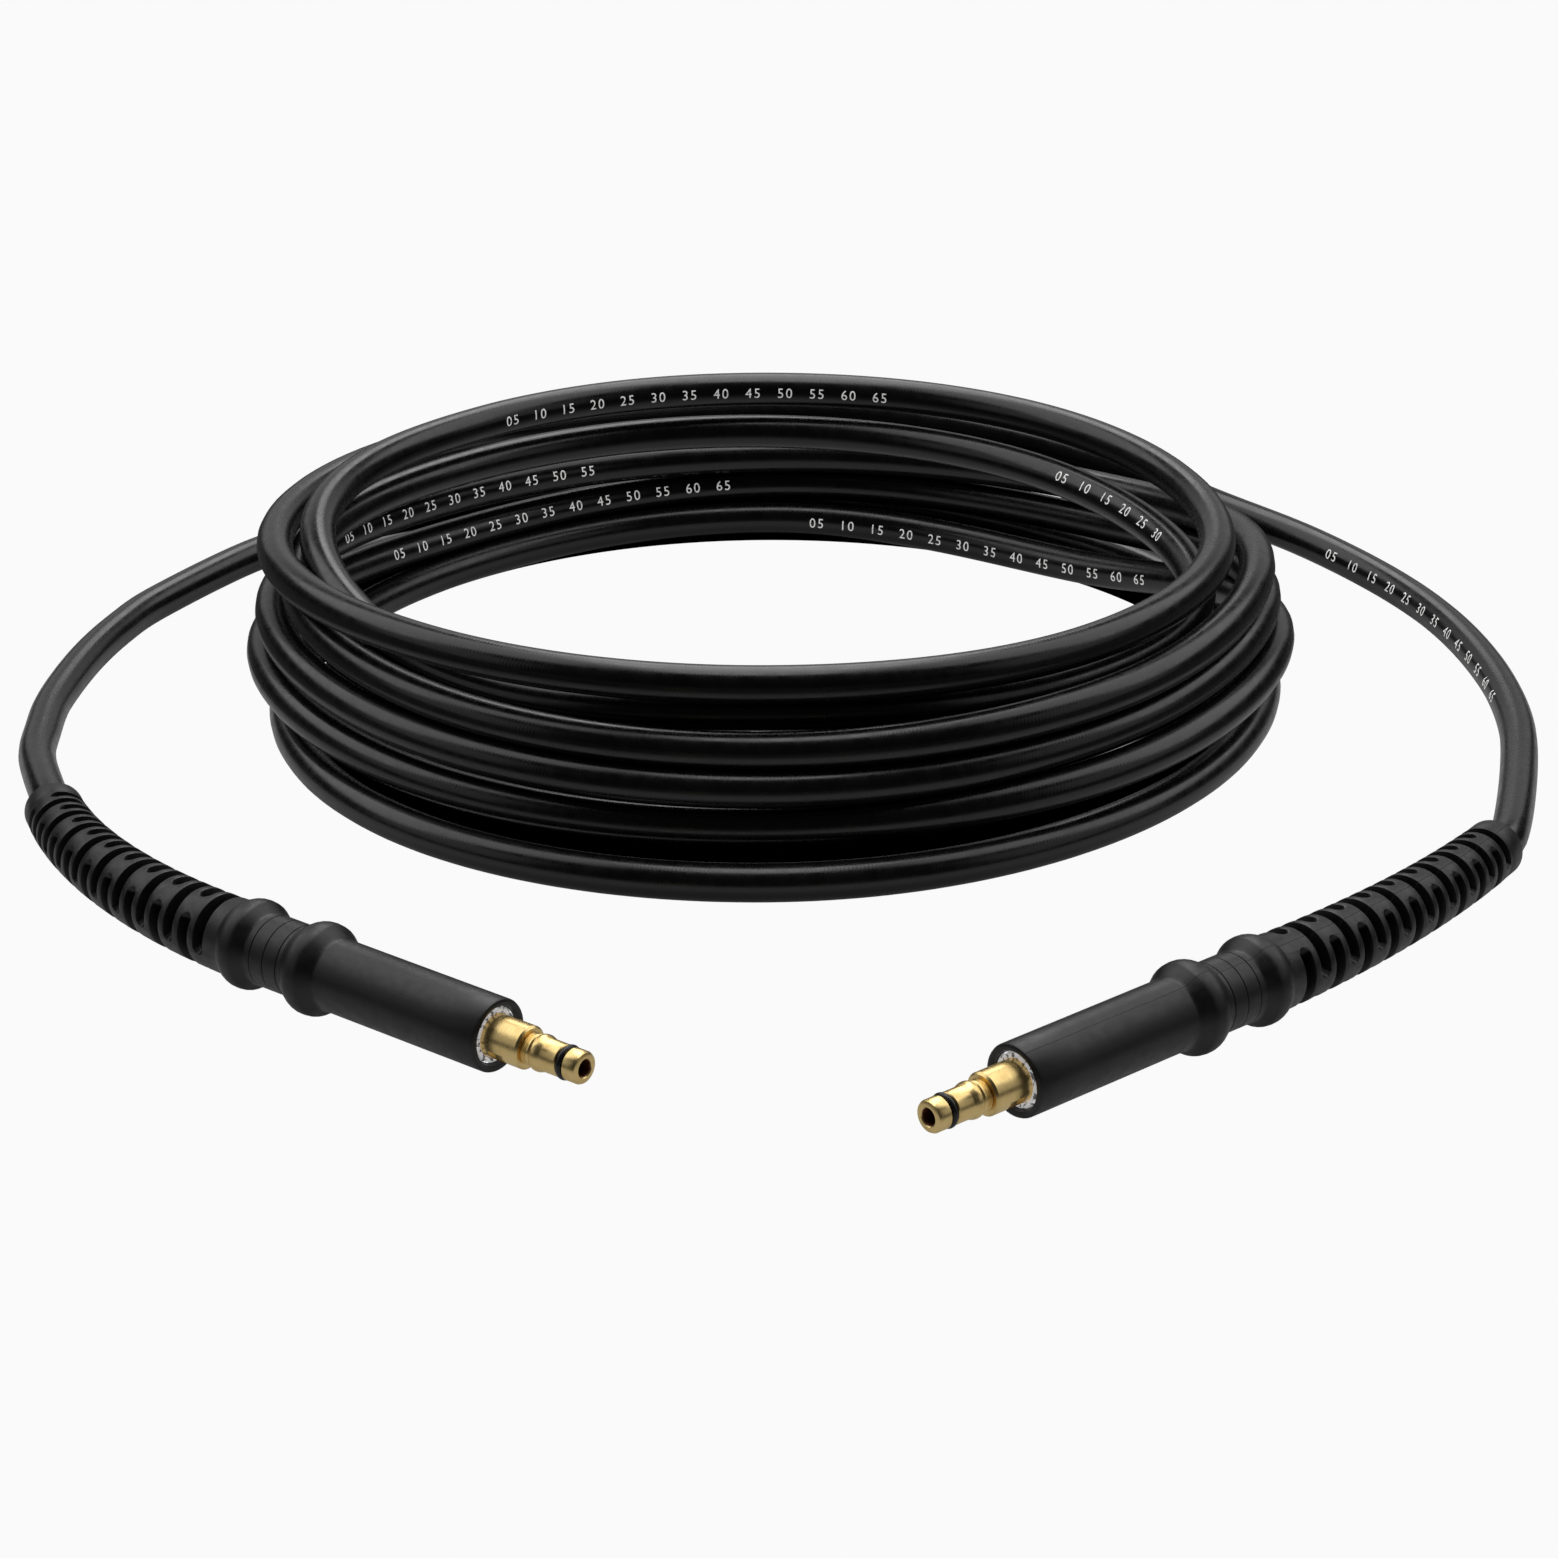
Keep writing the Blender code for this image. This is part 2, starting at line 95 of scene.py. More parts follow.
class NodeSheet:
    """A small writer of node trees."""

    def __init__(self, tree: NodeTree) -> None:
        """Keep the tree that the nodes go into."""
        self.tree = tree

    def feed(self, node: Node, inputs: Inputs) -> None:
        """Feed inputs of a node.

        Args:
            node: the node.
            inputs: an output to link or a value to set, for each input's name or number.
        """
        for name, value in inputs.items():
            if isinstance(value, NodeSocket):
                self.tree.links.new(value, node.inputs[name])
            else:
                node.inputs[name].default_value = value

    def node(self, kind: str, inputs: Inputs | None = None, **settings: object) -> Node:
        """Add a node.

        Args:
            kind: Blender's name of the node type, without ShaderNode.
            inputs: what its inputs get.
            settings: properties to set on it.

        Returns:
            The new node.
        """
        made = self.tree.nodes.new(f"ShaderNode{kind}")
        for name, value in settings.items():
            setattr(made, name, value)
        self.feed(made, inputs or {})
        return made

    def math(self, operation: str, *values: object) -> NodeSocket:
        """Do Blender's maths operation of that name with outputs or numbers."""
        return self.node("Math", dict(enumerate(values)), operation=operation).outputs[0]

    def times(self, first: object, second: object) -> NodeSocket:
        """Multiply two outputs or numbers."""
        return self.math("MULTIPLY", first, second)

    def distance(self, across: NodeSocket, back: NodeSocket) -> NodeSocket:
        """Give the distance of two coordinates from their origin."""
        squares = self.math("MULTIPLY_ADD", back, back, self.times(across, across))
        return self.math("SQRT", squares)

    def split(self, vector: NodeSocket) -> list[NodeSocket]:
        """Take a vector apart into its X, Y and Z."""
        return list(self.node("SeparateXYZ", {0: vector}).outputs)

    def place(self) -> NodeSocket:
        """Read the object's own coordinates."""
        return self.node("TexCoord").outputs["Object"]

    def straight_place(self) -> NodeSocket:
        """Read the place that a corner had before its piece was bent and moved."""
        return self.node("Attribute", attribute_name=PLACE_ATTRIBUTE).outputs["Vector"]

    def spread(
        self, value: object, low: float, high: float, to_low: float = 0.0, to_high: float = 1.0
    ) -> NodeSocket:
        """Map one range smoothly to another.

        Args:
            value: the output that is mapped.
            low, high: the ends of its range.
            to_low, to_high: the results there.

        Returns:
            The mapped output.
        """
        ends = {"From Min": low, "From Max": high, "To Min": to_low, "To Max": to_high}
        made = self.node("MapRange", {"Value": value, **ends}, interpolation_type="SMOOTHSTEP")
        return made.outputs["Result"]

    def noise(self, place: NodeSocket, scale: float, detail: float = 3.0) -> NodeSocket:
        """Add a Noise texture.

        Args:
            place: the coordinates it reads.
            scale: how many features there are in a metre.
            detail: how many finer layers it has.

        Returns:
            Its factor.
        """
        made = self.node("TexNoise", {"Vector": place, "Scale": scale, "Detail": detail})
        return made.outputs["Fac"]

    def patches(
        self, place: NodeSocket, wanted: Patches, to_low: float = 0.0, to_high: float = 1.0
    ) -> NodeSocket:
        """Lay soft patches.

        Args:
            place: the coordinates they read.
            wanted: the patches.
            to_low, to_high: the results between the patches and in them.

        Returns:
            The patches.
        """
        noise = self.noise(place, wanted.scale, wanted.detail)
        return self.spread(noise, wanted.low, wanted.high, to_low, to_high)

    def blend(self, share: object, first: object, second: object) -> NodeSocket:
        """Mix two colours, with that share of the second one."""
        made = self.node("Mix", {0: share, 6: first, 7: second}, data_type="RGBA")
        return made.outputs[2]

    def relief(
        self,
        height: NodeSocket,
        depth: float,
        strength: float = 1.0,
        below: NodeSocket | None = None,
    ) -> NodeSocket:
        """Add a Bump node.

        Args:
            height: relief from 0 to 1.
            depth: what a relief of 1 stands for, in metres.
            strength: how much of it shows.
            below: normal of the relief that this one lies on.

        Returns:
            The new normal.
        """
        made = self.node("Bump", {"Height": height, "Distance": depth, "Strength": strength})
        if below is not None:
            self.feed(made, {"Normal": below})
        return made.outputs["Normal"]

    def grain(
        self, place: NodeSocket, wanted: Grain, below: NodeSocket | None = None
    ) -> NodeSocket:
        """Add a fine relief.

        Args:
            place: the coordinates it reads.
            wanted: the relief.
            below: normal of the relief that it lies on.

        Returns:
            The new normal.
        """
        noise = self.noise(place, wanted.scale, wanted.detail)
        return self.relief(noise, wanted.depth, wanted.strength, below)


@dataclass(frozen=True)
class Finish:
    """A finish of one of the materials."""

    name: str

    def build(self) -> Material:
        """Make the material.

        Returns:
            The material.
        """
        made = bpy.data.materials.new(self.name)
        made.use_nodes = True
        sheet = NodeSheet(made.node_tree)
        sheet.feed(made.node_tree.nodes["Principled BSDF"], self.inputs(sheet))
        return made

    def inputs(self, sheet: NodeSheet) -> Inputs:
        """Write the finish's nodes, and give what the shader's inputs get."""
        raise NotImplementedError


@dataclass(frozen=True)
class HoseRubber(Finish):
    """Semi-gloss black rubber, with the press marks of its cloth wrapping and a little dust.

    It reads the hose's own UV map of length and turn.
    """

    dark: Colour = (0.0020, 0.0020, 0.0021, 1.0)
    dusty: Colour = (0.0050, 0.0050, 0.0051, 1.0)
    roughness: Pair = (0.22, 0.30)
    specular: float = 0.55
    wrap_pitch: float = 0.00105
    wrap_turns: float = 9.0
    wrap_depth: float = 0.000012
    wrap_patches: Patches = Patches(45.0, low=0.40, high=0.62)
    wrap_worn: float = 0.15
    clouds: Patches = Patches(28.0, 4.0, 0.35, 0.70)
    polish: Patches = Patches(260.0)
    fine: Grain = Grain(1500.0, 2.0, 0.000005, 0.3)

    def inputs(self, sheet: NodeSheet) -> Inputs:
        """Write the rubber's nodes.

        Args:
            sheet: writer of the material's nodes.

        Returns:
            What the shader's inputs get.
        """
        along, turn, _ = sheet.split(sheet.node("UVMap", uv_map=HOSE_UV).outputs[0])
        place = sheet.place()
        lengthwise = sheet.times(along, FULL_TURN / self.wrap_pitch)
        around = sheet.times(turn, FULL_TURN * self.wrap_turns)
        one_way = sheet.math("SINE", sheet.math("ADD", lengthwise, around))
        other_way = sheet.math("SINE", sheet.math("SUBTRACT", lengthwise, around))
        woven = sheet.math("MULTIPLY_ADD", one_way, 0.35, 0.5)
        woven = sheet.math("MULTIPLY_ADD", other_way, 0.15, woven)
        patchy = sheet.patches(place, self.wrap_patches, self.wrap_worn)
        wrap = sheet.relief(sheet.times(woven, patchy), self.wrap_depth)
        return {
            "Normal": sheet.grain(place, self.fine, wrap),
            "Base Color": sheet.blend(sheet.patches(place, self.clouds), self.dark, self.dusty),
            "Roughness": sheet.patches(place, self.polish, *self.roughness),
            "Specular IOR Level": self.specular,
        }


@dataclass(frozen=True)
class GripMoulding(Finish):
    """Satin black moulding with a fine grain and the fine line where its mould parted."""

    dark: Colour = (0.0035, 0.0035, 0.0036, 1.0)
    worn: Colour = (0.0080, 0.0080, 0.0082, 1.0)
    line: Colour = (0.004, 0.004, 0.004, 1.0)
    roughness: Pair = (0.38, 0.48)
    clouds: Patches = Patches(90.0, 5.0, 0.35, 0.75)
    polish: Patches = Patches(420.0)
    fine: Grain = Grain(2600.0, 3.0, 0.000022, 0.8)
    wavy: Grain = Grain(190.0, 2.0, 0.00010, 0.35)
    line_width: float = 0.00012
    line_waver: float = 0.0002
    line_turned: bool = False

    def inputs(self, sheet: NodeSheet) -> Inputs:
        """Write the moulding's nodes.

        Args:
            sheet: writer of the material's nodes.

        Returns:
            What the shader's inputs get.
        """
        place = sheet.straight_place()
        across, facing, _ = sheet.split(place)
        if self.line_turned:
            across, facing = facing, across
        wander = sheet.noise(place, 260.0, 2.0)
        waver = sheet.math("MULTIPLY_ADD", wander, self.line_waver, -self.line_waver / 2)
        beside = sheet.math("ABSOLUTE", sheet.math("ADD", across, waver))
        near = sheet.spread(beside, 0.0, self.line_width, 1.0, 0.0)
        line = sheet.times(near, sheet.math("GREATER_THAN", facing, 0.0))
        soft = sheet.grain(place, self.wavy, sheet.grain(place, self.fine))
        base = sheet.blend(sheet.patches(place, self.clouds), self.dark, self.worn)
        return {
            "Normal": sheet.relief(line, self.line_width, 0.9, soft),
            "Base Color": sheet.blend(sheet.times(line, 0.7), base, self.line),
            "Roughness": sheet.patches(place, self.polish, *self.roughness),
        }


@dataclass(frozen=True)
class TurnedMetal(Finish):
    """Metal from a lathe: fine turning lines round it, with a little tarnish and a painted glow
    where one is set.
    """

    bright: Colour = (0.87, 0.65, 0.28, 1.0)
    dull: Colour = (0.67, 0.46, 0.17, 1.0)
    bore: Colour = (0.16, 0.055, 0.018, 1.0)
    bore_radius: float = 0.0
    bore_dullness: float = 0.7
    metallic: float = 1.0
    # Painted glow: the metal's colour also shines as light of its own, so it looks lit whatever the
    # lamps give.
    painted_glow: float = 0.0
    roughness: Pair = (0.27, 0.36)
    line_scale: float = 2600.0
    line_stretch: Triple = (0.03, 0.03, 1.0)
    line_depth: float = 0.0000012
    tarnish: Patches = Patches(240.0, 4.0, 0.45, 0.80)

    def inputs(self, sheet: NodeSheet) -> Inputs:
        """Write the metal's nodes.

        Args:
            sheet: writer of the material's nodes.

        Returns:
            What the shader's inputs get.
        """
        place = sheet.straight_place()
        drawn = sheet.node("Mapping", {"Vector": place, "Scale": self.line_stretch})
        lines = sheet.noise(drawn.outputs[0], self.line_scale, 2.0)
        colour = sheet.blend(sheet.patches(place, self.tarnish), self.bright, self.dull)
        across, upward, _ = sheet.split(place)
        inside = sheet.math("LESS_THAN", sheet.distance(across, upward), self.bore_radius)
        fall = -self.bore_dullness * self.metallic
        return {
            "Normal": sheet.relief(lines, self.line_depth, 0.8),
            "Base Color": sheet.blend(inside, colour, self.bore),
            "Roughness": sheet.spread(lines, 0.30, 0.70, *self.roughness),
            # Painted light: the colour is sent out as emission of that strength.
            "Emission Color": colour,
            "Emission Strength": self.painted_glow,
            "Metallic": sheet.math("MULTIPLY_ADD", inside, fall, self.metallic),
        }


@dataclass(frozen=True)
class SealRubber(Finish):
    """Smooth black rubber with a film of grease."""

    dark: Colour = (0.006, 0.006, 0.0062, 1.0)
    dusty: Colour = (0.012, 0.012, 0.012, 1.0)
    roughness: Pair = (0.26, 0.40)
    clouds_scale: float = 500.0
    fine: Grain = Grain(1800.0, 2.0, 0.00001, 0.5)

    def inputs(self, sheet: NodeSheet) -> Inputs:
        """Write the seal's nodes.

        Args:
            sheet: writer of the material's nodes.

        Returns:
            What the shader's inputs get.
        """
        place = sheet.straight_place()
        clouds = sheet.noise(place, self.clouds_scale)
        polish = Patches(self.fine.scale, self.fine.detail)
        return {
            "Normal": sheet.grain(place, self.fine),
            "Roughness": sheet.patches(place, polish, *self.roughness),
            "Base Color": sheet.blend(clouds, self.dark, self.dusty),
        }


@dataclass(frozen=True)
class PrintInk(Finish):
    """White ink, thin enough that the rubber greys it here and there, with a painted glow."""

    white: Colour = (0.90, 0.90, 0.89, 1.0)
    rubbed: Colour = (0.45, 0.45, 0.45, 1.0)
    wear: Patches = Patches(1400.0, 4.0, 0.50, 0.72)
    # Painted glow: the ink shines a little by itself, so it stays white in shade.
    painted_glow: float = 0.35
    roughness: float = 0.55

    def inputs(self, sheet: NodeSheet) -> Inputs:
        """Write the ink's nodes.

        Args:
            sheet: writer of the material's nodes.

        Returns:
            What the shader's inputs get.
        """
        ink = sheet.blend(sheet.patches(sheet.place(), self.wear), self.white, self.rubbed)
        return {
            "Base Color": ink,
            # Painted light: the ink's colour is also sent out as emission.
            "Emission Color": ink,
            "Emission Strength": self.painted_glow,
            "Roughness": self.roughness,
        }


@dataclass(frozen=True)
class PaleFloor(Finish):
    """Plain white studio floor with a painted shade at the coil's foot.

    The shade lies only where the coil hides the floor from the photograph's camera, and darkens
    what shows through the slits between the turns. Each pair says where a part of the shade
    starts and where it is full: by the distance from the coil's centre or to the back of it.
    """

    white: float = 0.955
    # Painted bounce light: to every ray but the camera's the floor glows brighter close by than far
    # off, and a painted contact shade dims it where it nearly touches the hose.
    glow_near: float = 0.42
    glow_far: float = 0.07
    contact_shade_glow: float = 0.30
    touch: float = 0.014
    near: float = 0.05
    far: float = 0.12
    centre: Pair = (0.0015, 0.1920)
    foot_radius: float = 0.1370
    inside_edge: Pair = (0.070, 0.098)
    inside_front: Pair = (-0.020, -0.050)
    strip_edge: Pair = (0.100, 0.112)
    strip_end: Pair = (0.052, 0.034)
    behind_edge: Pair = (0.199, 0.184)
    behind_start: Pair = (0.032, 0.050)
    behind_side: Pair = (0.150, 0.138)

    def shade(self, sheet: NodeSheet) -> NodeSocket:
        """Paint the shade.

        Args:
            sheet: writer of the material's nodes.

        Returns:
            The shade, from 0 on the open floor to 1.
        """
        x, y, _ = sheet.split(sheet.place())
        across = sheet.math("SUBTRACT", x, self.centre[0])
        back = sheet.math("SUBTRACT", y, self.centre[1])
        radius = sheet.distance(across, back)
        inside = sheet.spread(radius, *self.inside_edge)
        inside = sheet.times(inside, sheet.spread(back, *self.inside_front))
        strip = sheet.spread(radius, *self.strip_edge)
        strip = sheet.times(strip, sheet.spread(back, *self.strip_end))
        foot = sheet.math("LESS_THAN", radius, self.foot_radius)
        shade = sheet.times(sheet.math("MAXIMUM", inside, strip), foot)
        behind = sheet.spread(radius, *self.behind_edge)
        behind = sheet.times(behind, sheet.math("SUBTRACT", 1.0, foot))
        behind = sheet.times(behind, sheet.spread(back, *self.behind_start))
        beside = sheet.spread(sheet.math("ABSOLUTE", across), *self.behind_side)
        return sheet.math("MAXIMUM", shade, sheet.times(behind, beside))

    def inputs(self, sheet: NodeSheet) -> Inputs:
        """Write the floor's nodes.

        Args:
            sheet: writer of the material's nodes.

        Returns:
            What the shader's inputs get.
        """
        path = sheet.node("LightPath").outputs
        seen, length = path["Is Camera Ray"], path["Ray Length"]
        # Painted bounce light falling off with distance, then a painted contact shade at very short
        # reach.
        painted_glow = sheet.spread(length, self.near, self.far, self.glow_near, self.glow_far)
        painted_glow = sheet.times(painted_glow, sheet.spread(length, 0.0, self.touch, self.contact_shade_glow))
        unseen = sheet.math("SUBTRACT", 1.0, seen)
        light = sheet.math("MULTIPLY_ADD", unseen, painted_glow, sheet.times(seen, self.white))
        lit = sheet.math("SUBTRACT", 1.0, self.shade(sheet))
        return {
            "Base Color": (0.0, 0.0, 0.0, 1.0),
            "Roughness": 1.0,
            "Specular IOR Level": 0.0,
            "Emission Color": WHITE,
            "Emission Strength": sheet.times(light, lit),
        }


# Meshes


def put(name: str, data: bpy.types.ID) -> Object:
    """Put a new object in the scene."""
    made = bpy.data.objects.new(name, data)
    bpy.context.scene.collection.objects.link(made)
    return made


def mesh_of_curve(curve: bpy.types.Curve) -> Mesh:
    """Turn a curve or a text into a mesh and remove it.

    Args:
        curve: the curve or the text.

    Returns:
        Its mesh.
    """
    holder = put(curve.name, curve)
    bpy.context.view_layer.update()
    shown = holder.evaluated_get(bpy.context.evaluated_depsgraph_get())
    mesh = bpy.data.meshes.new_from_object(shown)
    bpy.data.objects.remove(holder, do_unlink=True)
    bpy.data.curves.remove(curve)
    return mesh


def mesh_of_shape(name: str, shape: BMesh) -> Mesh:
    """Make a mesh of a shape, which is freed."""
    mesh = bpy.data.meshes.new(name)
    shape.to_mesh(mesh)
    shape.free()
    return mesh


def sink_faces(shape: BMesh, faces: list[BMFace]) -> tuple[list[BMVert], set[BMFace]]:
    """Cut faces loose, with new walls round them that have no height yet.

    Args:
        shape: the shape.
        faces: the faces, which are replaced.

    Returns:
        The corners and the faces that stand for them.
    """
    made = bmesh.ops.extrude_face_region(shape, geom=faces)["geom"]
    bmesh.ops.delete(shape, geom=faces, context="FACES")
    corners = [part for part in made if isinstance(part, BMVert)]
    return corners, {part for part in made if isinstance(part, BMFace)}


def round_edges(shape: BMesh, edges: list[BMEdge], offset: float, segments: int) -> None:
    """Round edges of a shape.

    Args:
        shape: the shape.
        edges: the edges.
        offset: how far from the edge the rounding starts.
        segments: its steps.
    """
    bmesh.ops.bevel(
        shape,
        geom=edges,
        offset=offset,
        offset_type="OFFSET",
        affect="EDGES",
        segments=segments,
        profile=0.5,
        clamp_overlap=True,
        material=-1,
    )
    shape.normal_update()


def add_piece(
    name: str,
    mesh: Mesh,
    finish: Material,
    nodes: Sequence[str] = (),
) -> Object:
    """Put a finished mesh in the scene as a piece that rides on the hose.

    Args:
        name: name of the piece.
        mesh: its mesh, already in place.
        finish: its material.
        nodes: CAD nodes that it stands for.

    Returns:
        The piece.
    """
    mesh.name = name
    mesh.materials.clear()
    mesh.materials.append(finish)
    piece = put(name, mesh)
    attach(piece, BODY)
    if nodes:
        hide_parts(*nodes)
    LOG.info("%s: %d faces", name, len(mesh.polygons))
    return piece


def turned_shape(outline: Outline, sides: int, closed: bool = False) -> BMesh:
    """Turn an outline about Z with the spin operator.

    Args:
        outline: (radius, height) points from one end to the other.
        sides: steps round the axis.
        closed: whether the outline's last point joins its first.

    Returns:
        The turned shape, with its normals pointing out.
    """
    shape = bmesh.new()
    corners = [shape.verts.new((0.0, radius, height)) for radius, height in outline]
    for here, there in zip(corners, corners[1:]):
        shape.edges.new((here, there))
    if closed:
        shape.edges.new((corners[-1], corners[0]))
    bmesh.ops.spin(
        shape,
        geom=shape.verts[:] + shape.edges[:],
        cent=(0.0, 0.0, 0.0),
        axis=(0.0, 0.0, 1.0),
        angle=FULL_TURN,
        steps=sides,
        use_merge=True,
    )
    bmesh.ops.remove_doubles(shape, verts=shape.verts[:], dist=MERGE_DISTANCE)
    bmesh.ops.recalc_face_normals(shape, faces=shape.faces[:])
    return shape


def smooth_points(points: Sequence[Vector], steps: int) -> list[Vector]:
    """Sample a smooth curve through points of any size.

    Args:
        points: the points that the curve goes through.
        steps: samples between two of them.

    Returns:
        The samples, the last point included.
    """
    ends = [2 * points[0] - points[1], *points, 2 * points[-1] - points[-2]]
    fine: list[Vector] = []
    for before, start, stop, after in zip(ends, ends[1:], ends[2:], ends[3:]):
        for step in range(steps):
            t = step / steps
            pull = (stop - before) * t
            bend = (2 * before - 5 * start + 4 * stop - after) * t**2
            swing = (3 * start - before - 3 * stop + after) * t**3
            fine.append(start + (pull + bend + swing) / 2)
    fine.append(points[-1].copy())
    return fine


def finished_mesh(shape: BMesh, move: Callable[[Vector], Vector], sharp: float) -> Mesh:
    """Move a straight shape to its place and make it a mesh.

    Args:
        shape: the shape, which is freed.
        move: gives the place of a corner from its straight place.
        sharp: angle in degrees from which an edge shows as sharp.

    Returns:
        The mesh, whose corners still know their straight places, for the materials.
    """
    layer = shape.verts.layers.float_vector.new(PLACE_ATTRIBUTE)
    for corner in shape.verts:
        corner[layer] = corner.co
        corner.co = move(corner.co.copy())
    mesh = mesh_of_shape("piece", shape)
    mesh.shade_smooth()
    mesh.set_sharp_from_angle(angle=math.radians(sharp))
    return mesh


# The hose


@dataclass
class HoseRoute:
    """Route of the hose's centreline from the left grip to the right one.

    The laps run clockwise from the right as seen from above, two lines to a turn. They hold the
    radius and the height in hose diameters at each eighth of a turn.
    """

    diameter: float = 0.0105
    ring_spacing: float = 0.0040
    coil_centre: Pair = (0.0015, 0.1920)
    lead_in: float = 0.0140
    steps: int = 20
    laps: tuple[Pair, ...] = (
        (13.72, 0.63), (13.28, 0.55), (13.54, 0.50), (13.80, 0.51),
        (13.42, 0.51), (13.15, 0.51), (13.32, 0.64), (12.85, 0.62),
        (13.95, 2.33), (13.25, 2.00), (12.29, 1.50), (13.10, 1.60),
        (14.09, 1.85), (13.53, 1.40), (13.91, 1.55), (13.75, 1.77),
        (13.60, 3.24), (12.75, 2.88), (12.38, 2.55), (12.98, 2.71),
        (13.81, 3.00), (13.55, 2.62), (13.65, 2.53), (13.80, 2.84),
        (13.40, 4.18), (12.75, 3.88), (12.10, 3.47), (12.60, 3.61),
        (13.05, 4.00), (12.45, 3.90), (11.63, 4.00), (11.31, 3.92),
        (11.77, 3.45), (11.25, 3.75), (11.10, 4.13), (11.60, 3.90),
        (12.50, 5.17), (12.05, 5.30), (11.64, 5.33), (12.02, 5.22),
        (12.25, 5.00), (11.87, 5.00), (11.60, 5.06), (12.56, 5.12),
        (13.70, 4.80),
    )
    left_tail: tuple[Triple, ...] = (
        (0.0968, 0.3140, 0.00525), (0.0758, 0.3312, 0.00525), (0.0437, 0.3494, 0.00525),
        (0.0015, 0.3610, 0.00525), (-0.0501, 0.3609, 0.00525), (-0.1052, 0.3444, 0.00525),
        (-0.1419, 0.3211, 0.00525), (-0.1634, 0.3002, 0.00525), (-0.1874, 0.2593, 0.00525),
        (-0.1965, 0.2361, 0.00525), (-0.2030, 0.2096, 0.00525), (-0.2070, 0.1779, 0.00525),
        (-0.2068, 0.1550, 0.00540), (-0.2049, 0.1329, 0.00590),
    )
    right_tail: tuple[Triple, ...] = (
        (-0.0964, 0.2965, 0.04620), (-0.0777, 0.3180, 0.04150), (-0.0469, 0.3408, 0.03820),
        (-0.0071, 0.3558, 0.03520), (0.0374, 0.3607, 0.03160), (0.0813, 0.3556, 0.02550),
        (0.1194, 0.3429, 0.01780), (0.1470, 0.3277, 0.01130), (0.1727, 0.3060, 0.00740),
        (0.1941, 0.2743, 0.00530), (0.2070, 0.2390, 0.00525), (0.2140, 0.2000, 0.00525),
        (0.2151, 0.1626, 0.00525), (0.2104, 0.1260, 0.00580),
    )

    def polar(self, point: Sequence[float]) -> Vector:
        """Give a point's angle and distance about the coil's centre, and its height."""
        x, y = point[0] - self.coil_centre[0], point[1] - self.coil_centre[1]
        return Vector((math.atan2(y, x), math.hypot(x, y), point[2]))

    def coil(self) -> list[Vector]:
        """Work out the turns of the coil.

        Returns:
            Points from where the left tail joins the coil to where the right tail leaves it.
        """
        eighth = -math.pi / 4
        knots = [self.polar(point) for point in (self.left_tail[1], self.left_tail[0])]
        for count, (radius, height) in enumerate(self.laps):
            knots.append(Vector((eighth * count, radius * self.diameter, height * self.diameter)))
        for point in self.right_tail[:2]:
            knot = self.polar(point)
            turns = round((knots[-1].x + eighth - knot.x) / FULL_TURN)
            knots.append(knot + Vector((FULL_TURN * turns, 0.0, 0.0)))
        fine = smooth_points(knots, self.steps)[self.steps : -self.steps]
        across, back = self.coil_centre
        return [
            Vector((across + k.y * math.cos(k.x), back + k.y * math.sin(k.x), k.z)) for k in fine
        ]

    def rings(
        self, left_end: Vector, left_way: Vector, right_end: Vector, right_way: Vector
    ) -> list[Vector]:
        """Place the centres of the hose's rings.

        Args:
            left_end, left_way: where the hose enters the left grip, and its way out of it.
            right_end, right_way: the same of the right grip.

        Returns:
            Evenly spaced centres from the left end to the right end.
        """
        left = [left_end, left_end + self.lead_in * left_way]
        left += [Vector(point) for point in reversed(self.left_tail)]
        right = [Vector(point) for point in self.right_tail]
        right += [right_end + self.lead_in * right_way, right_end]
        route = smooth_points(left, self.steps)[:-1] + self.coil()
        route += smooth_points(right, self.steps)[1:]
        travelled = [0.0]
        for here, there in zip(route, route[1:]):
            travelled.append(travelled[-1] + (there - here).length)
        count = round(travelled[-1] / self.ring_spacing)
        centres: list[Vector] = []
        at = 0
        for step in range(count + 1):
            wanted = travelled[-1] * step / count
            while at < len(route) - 2 and travelled[at + 1] < wanted:
                at += 1
            share = (wanted - travelled[at]) / (travelled[at + 1] - travelled[at])
            centres.append(route[at].lerp(route[at + 1], min(share, 1.0)))
        return centres


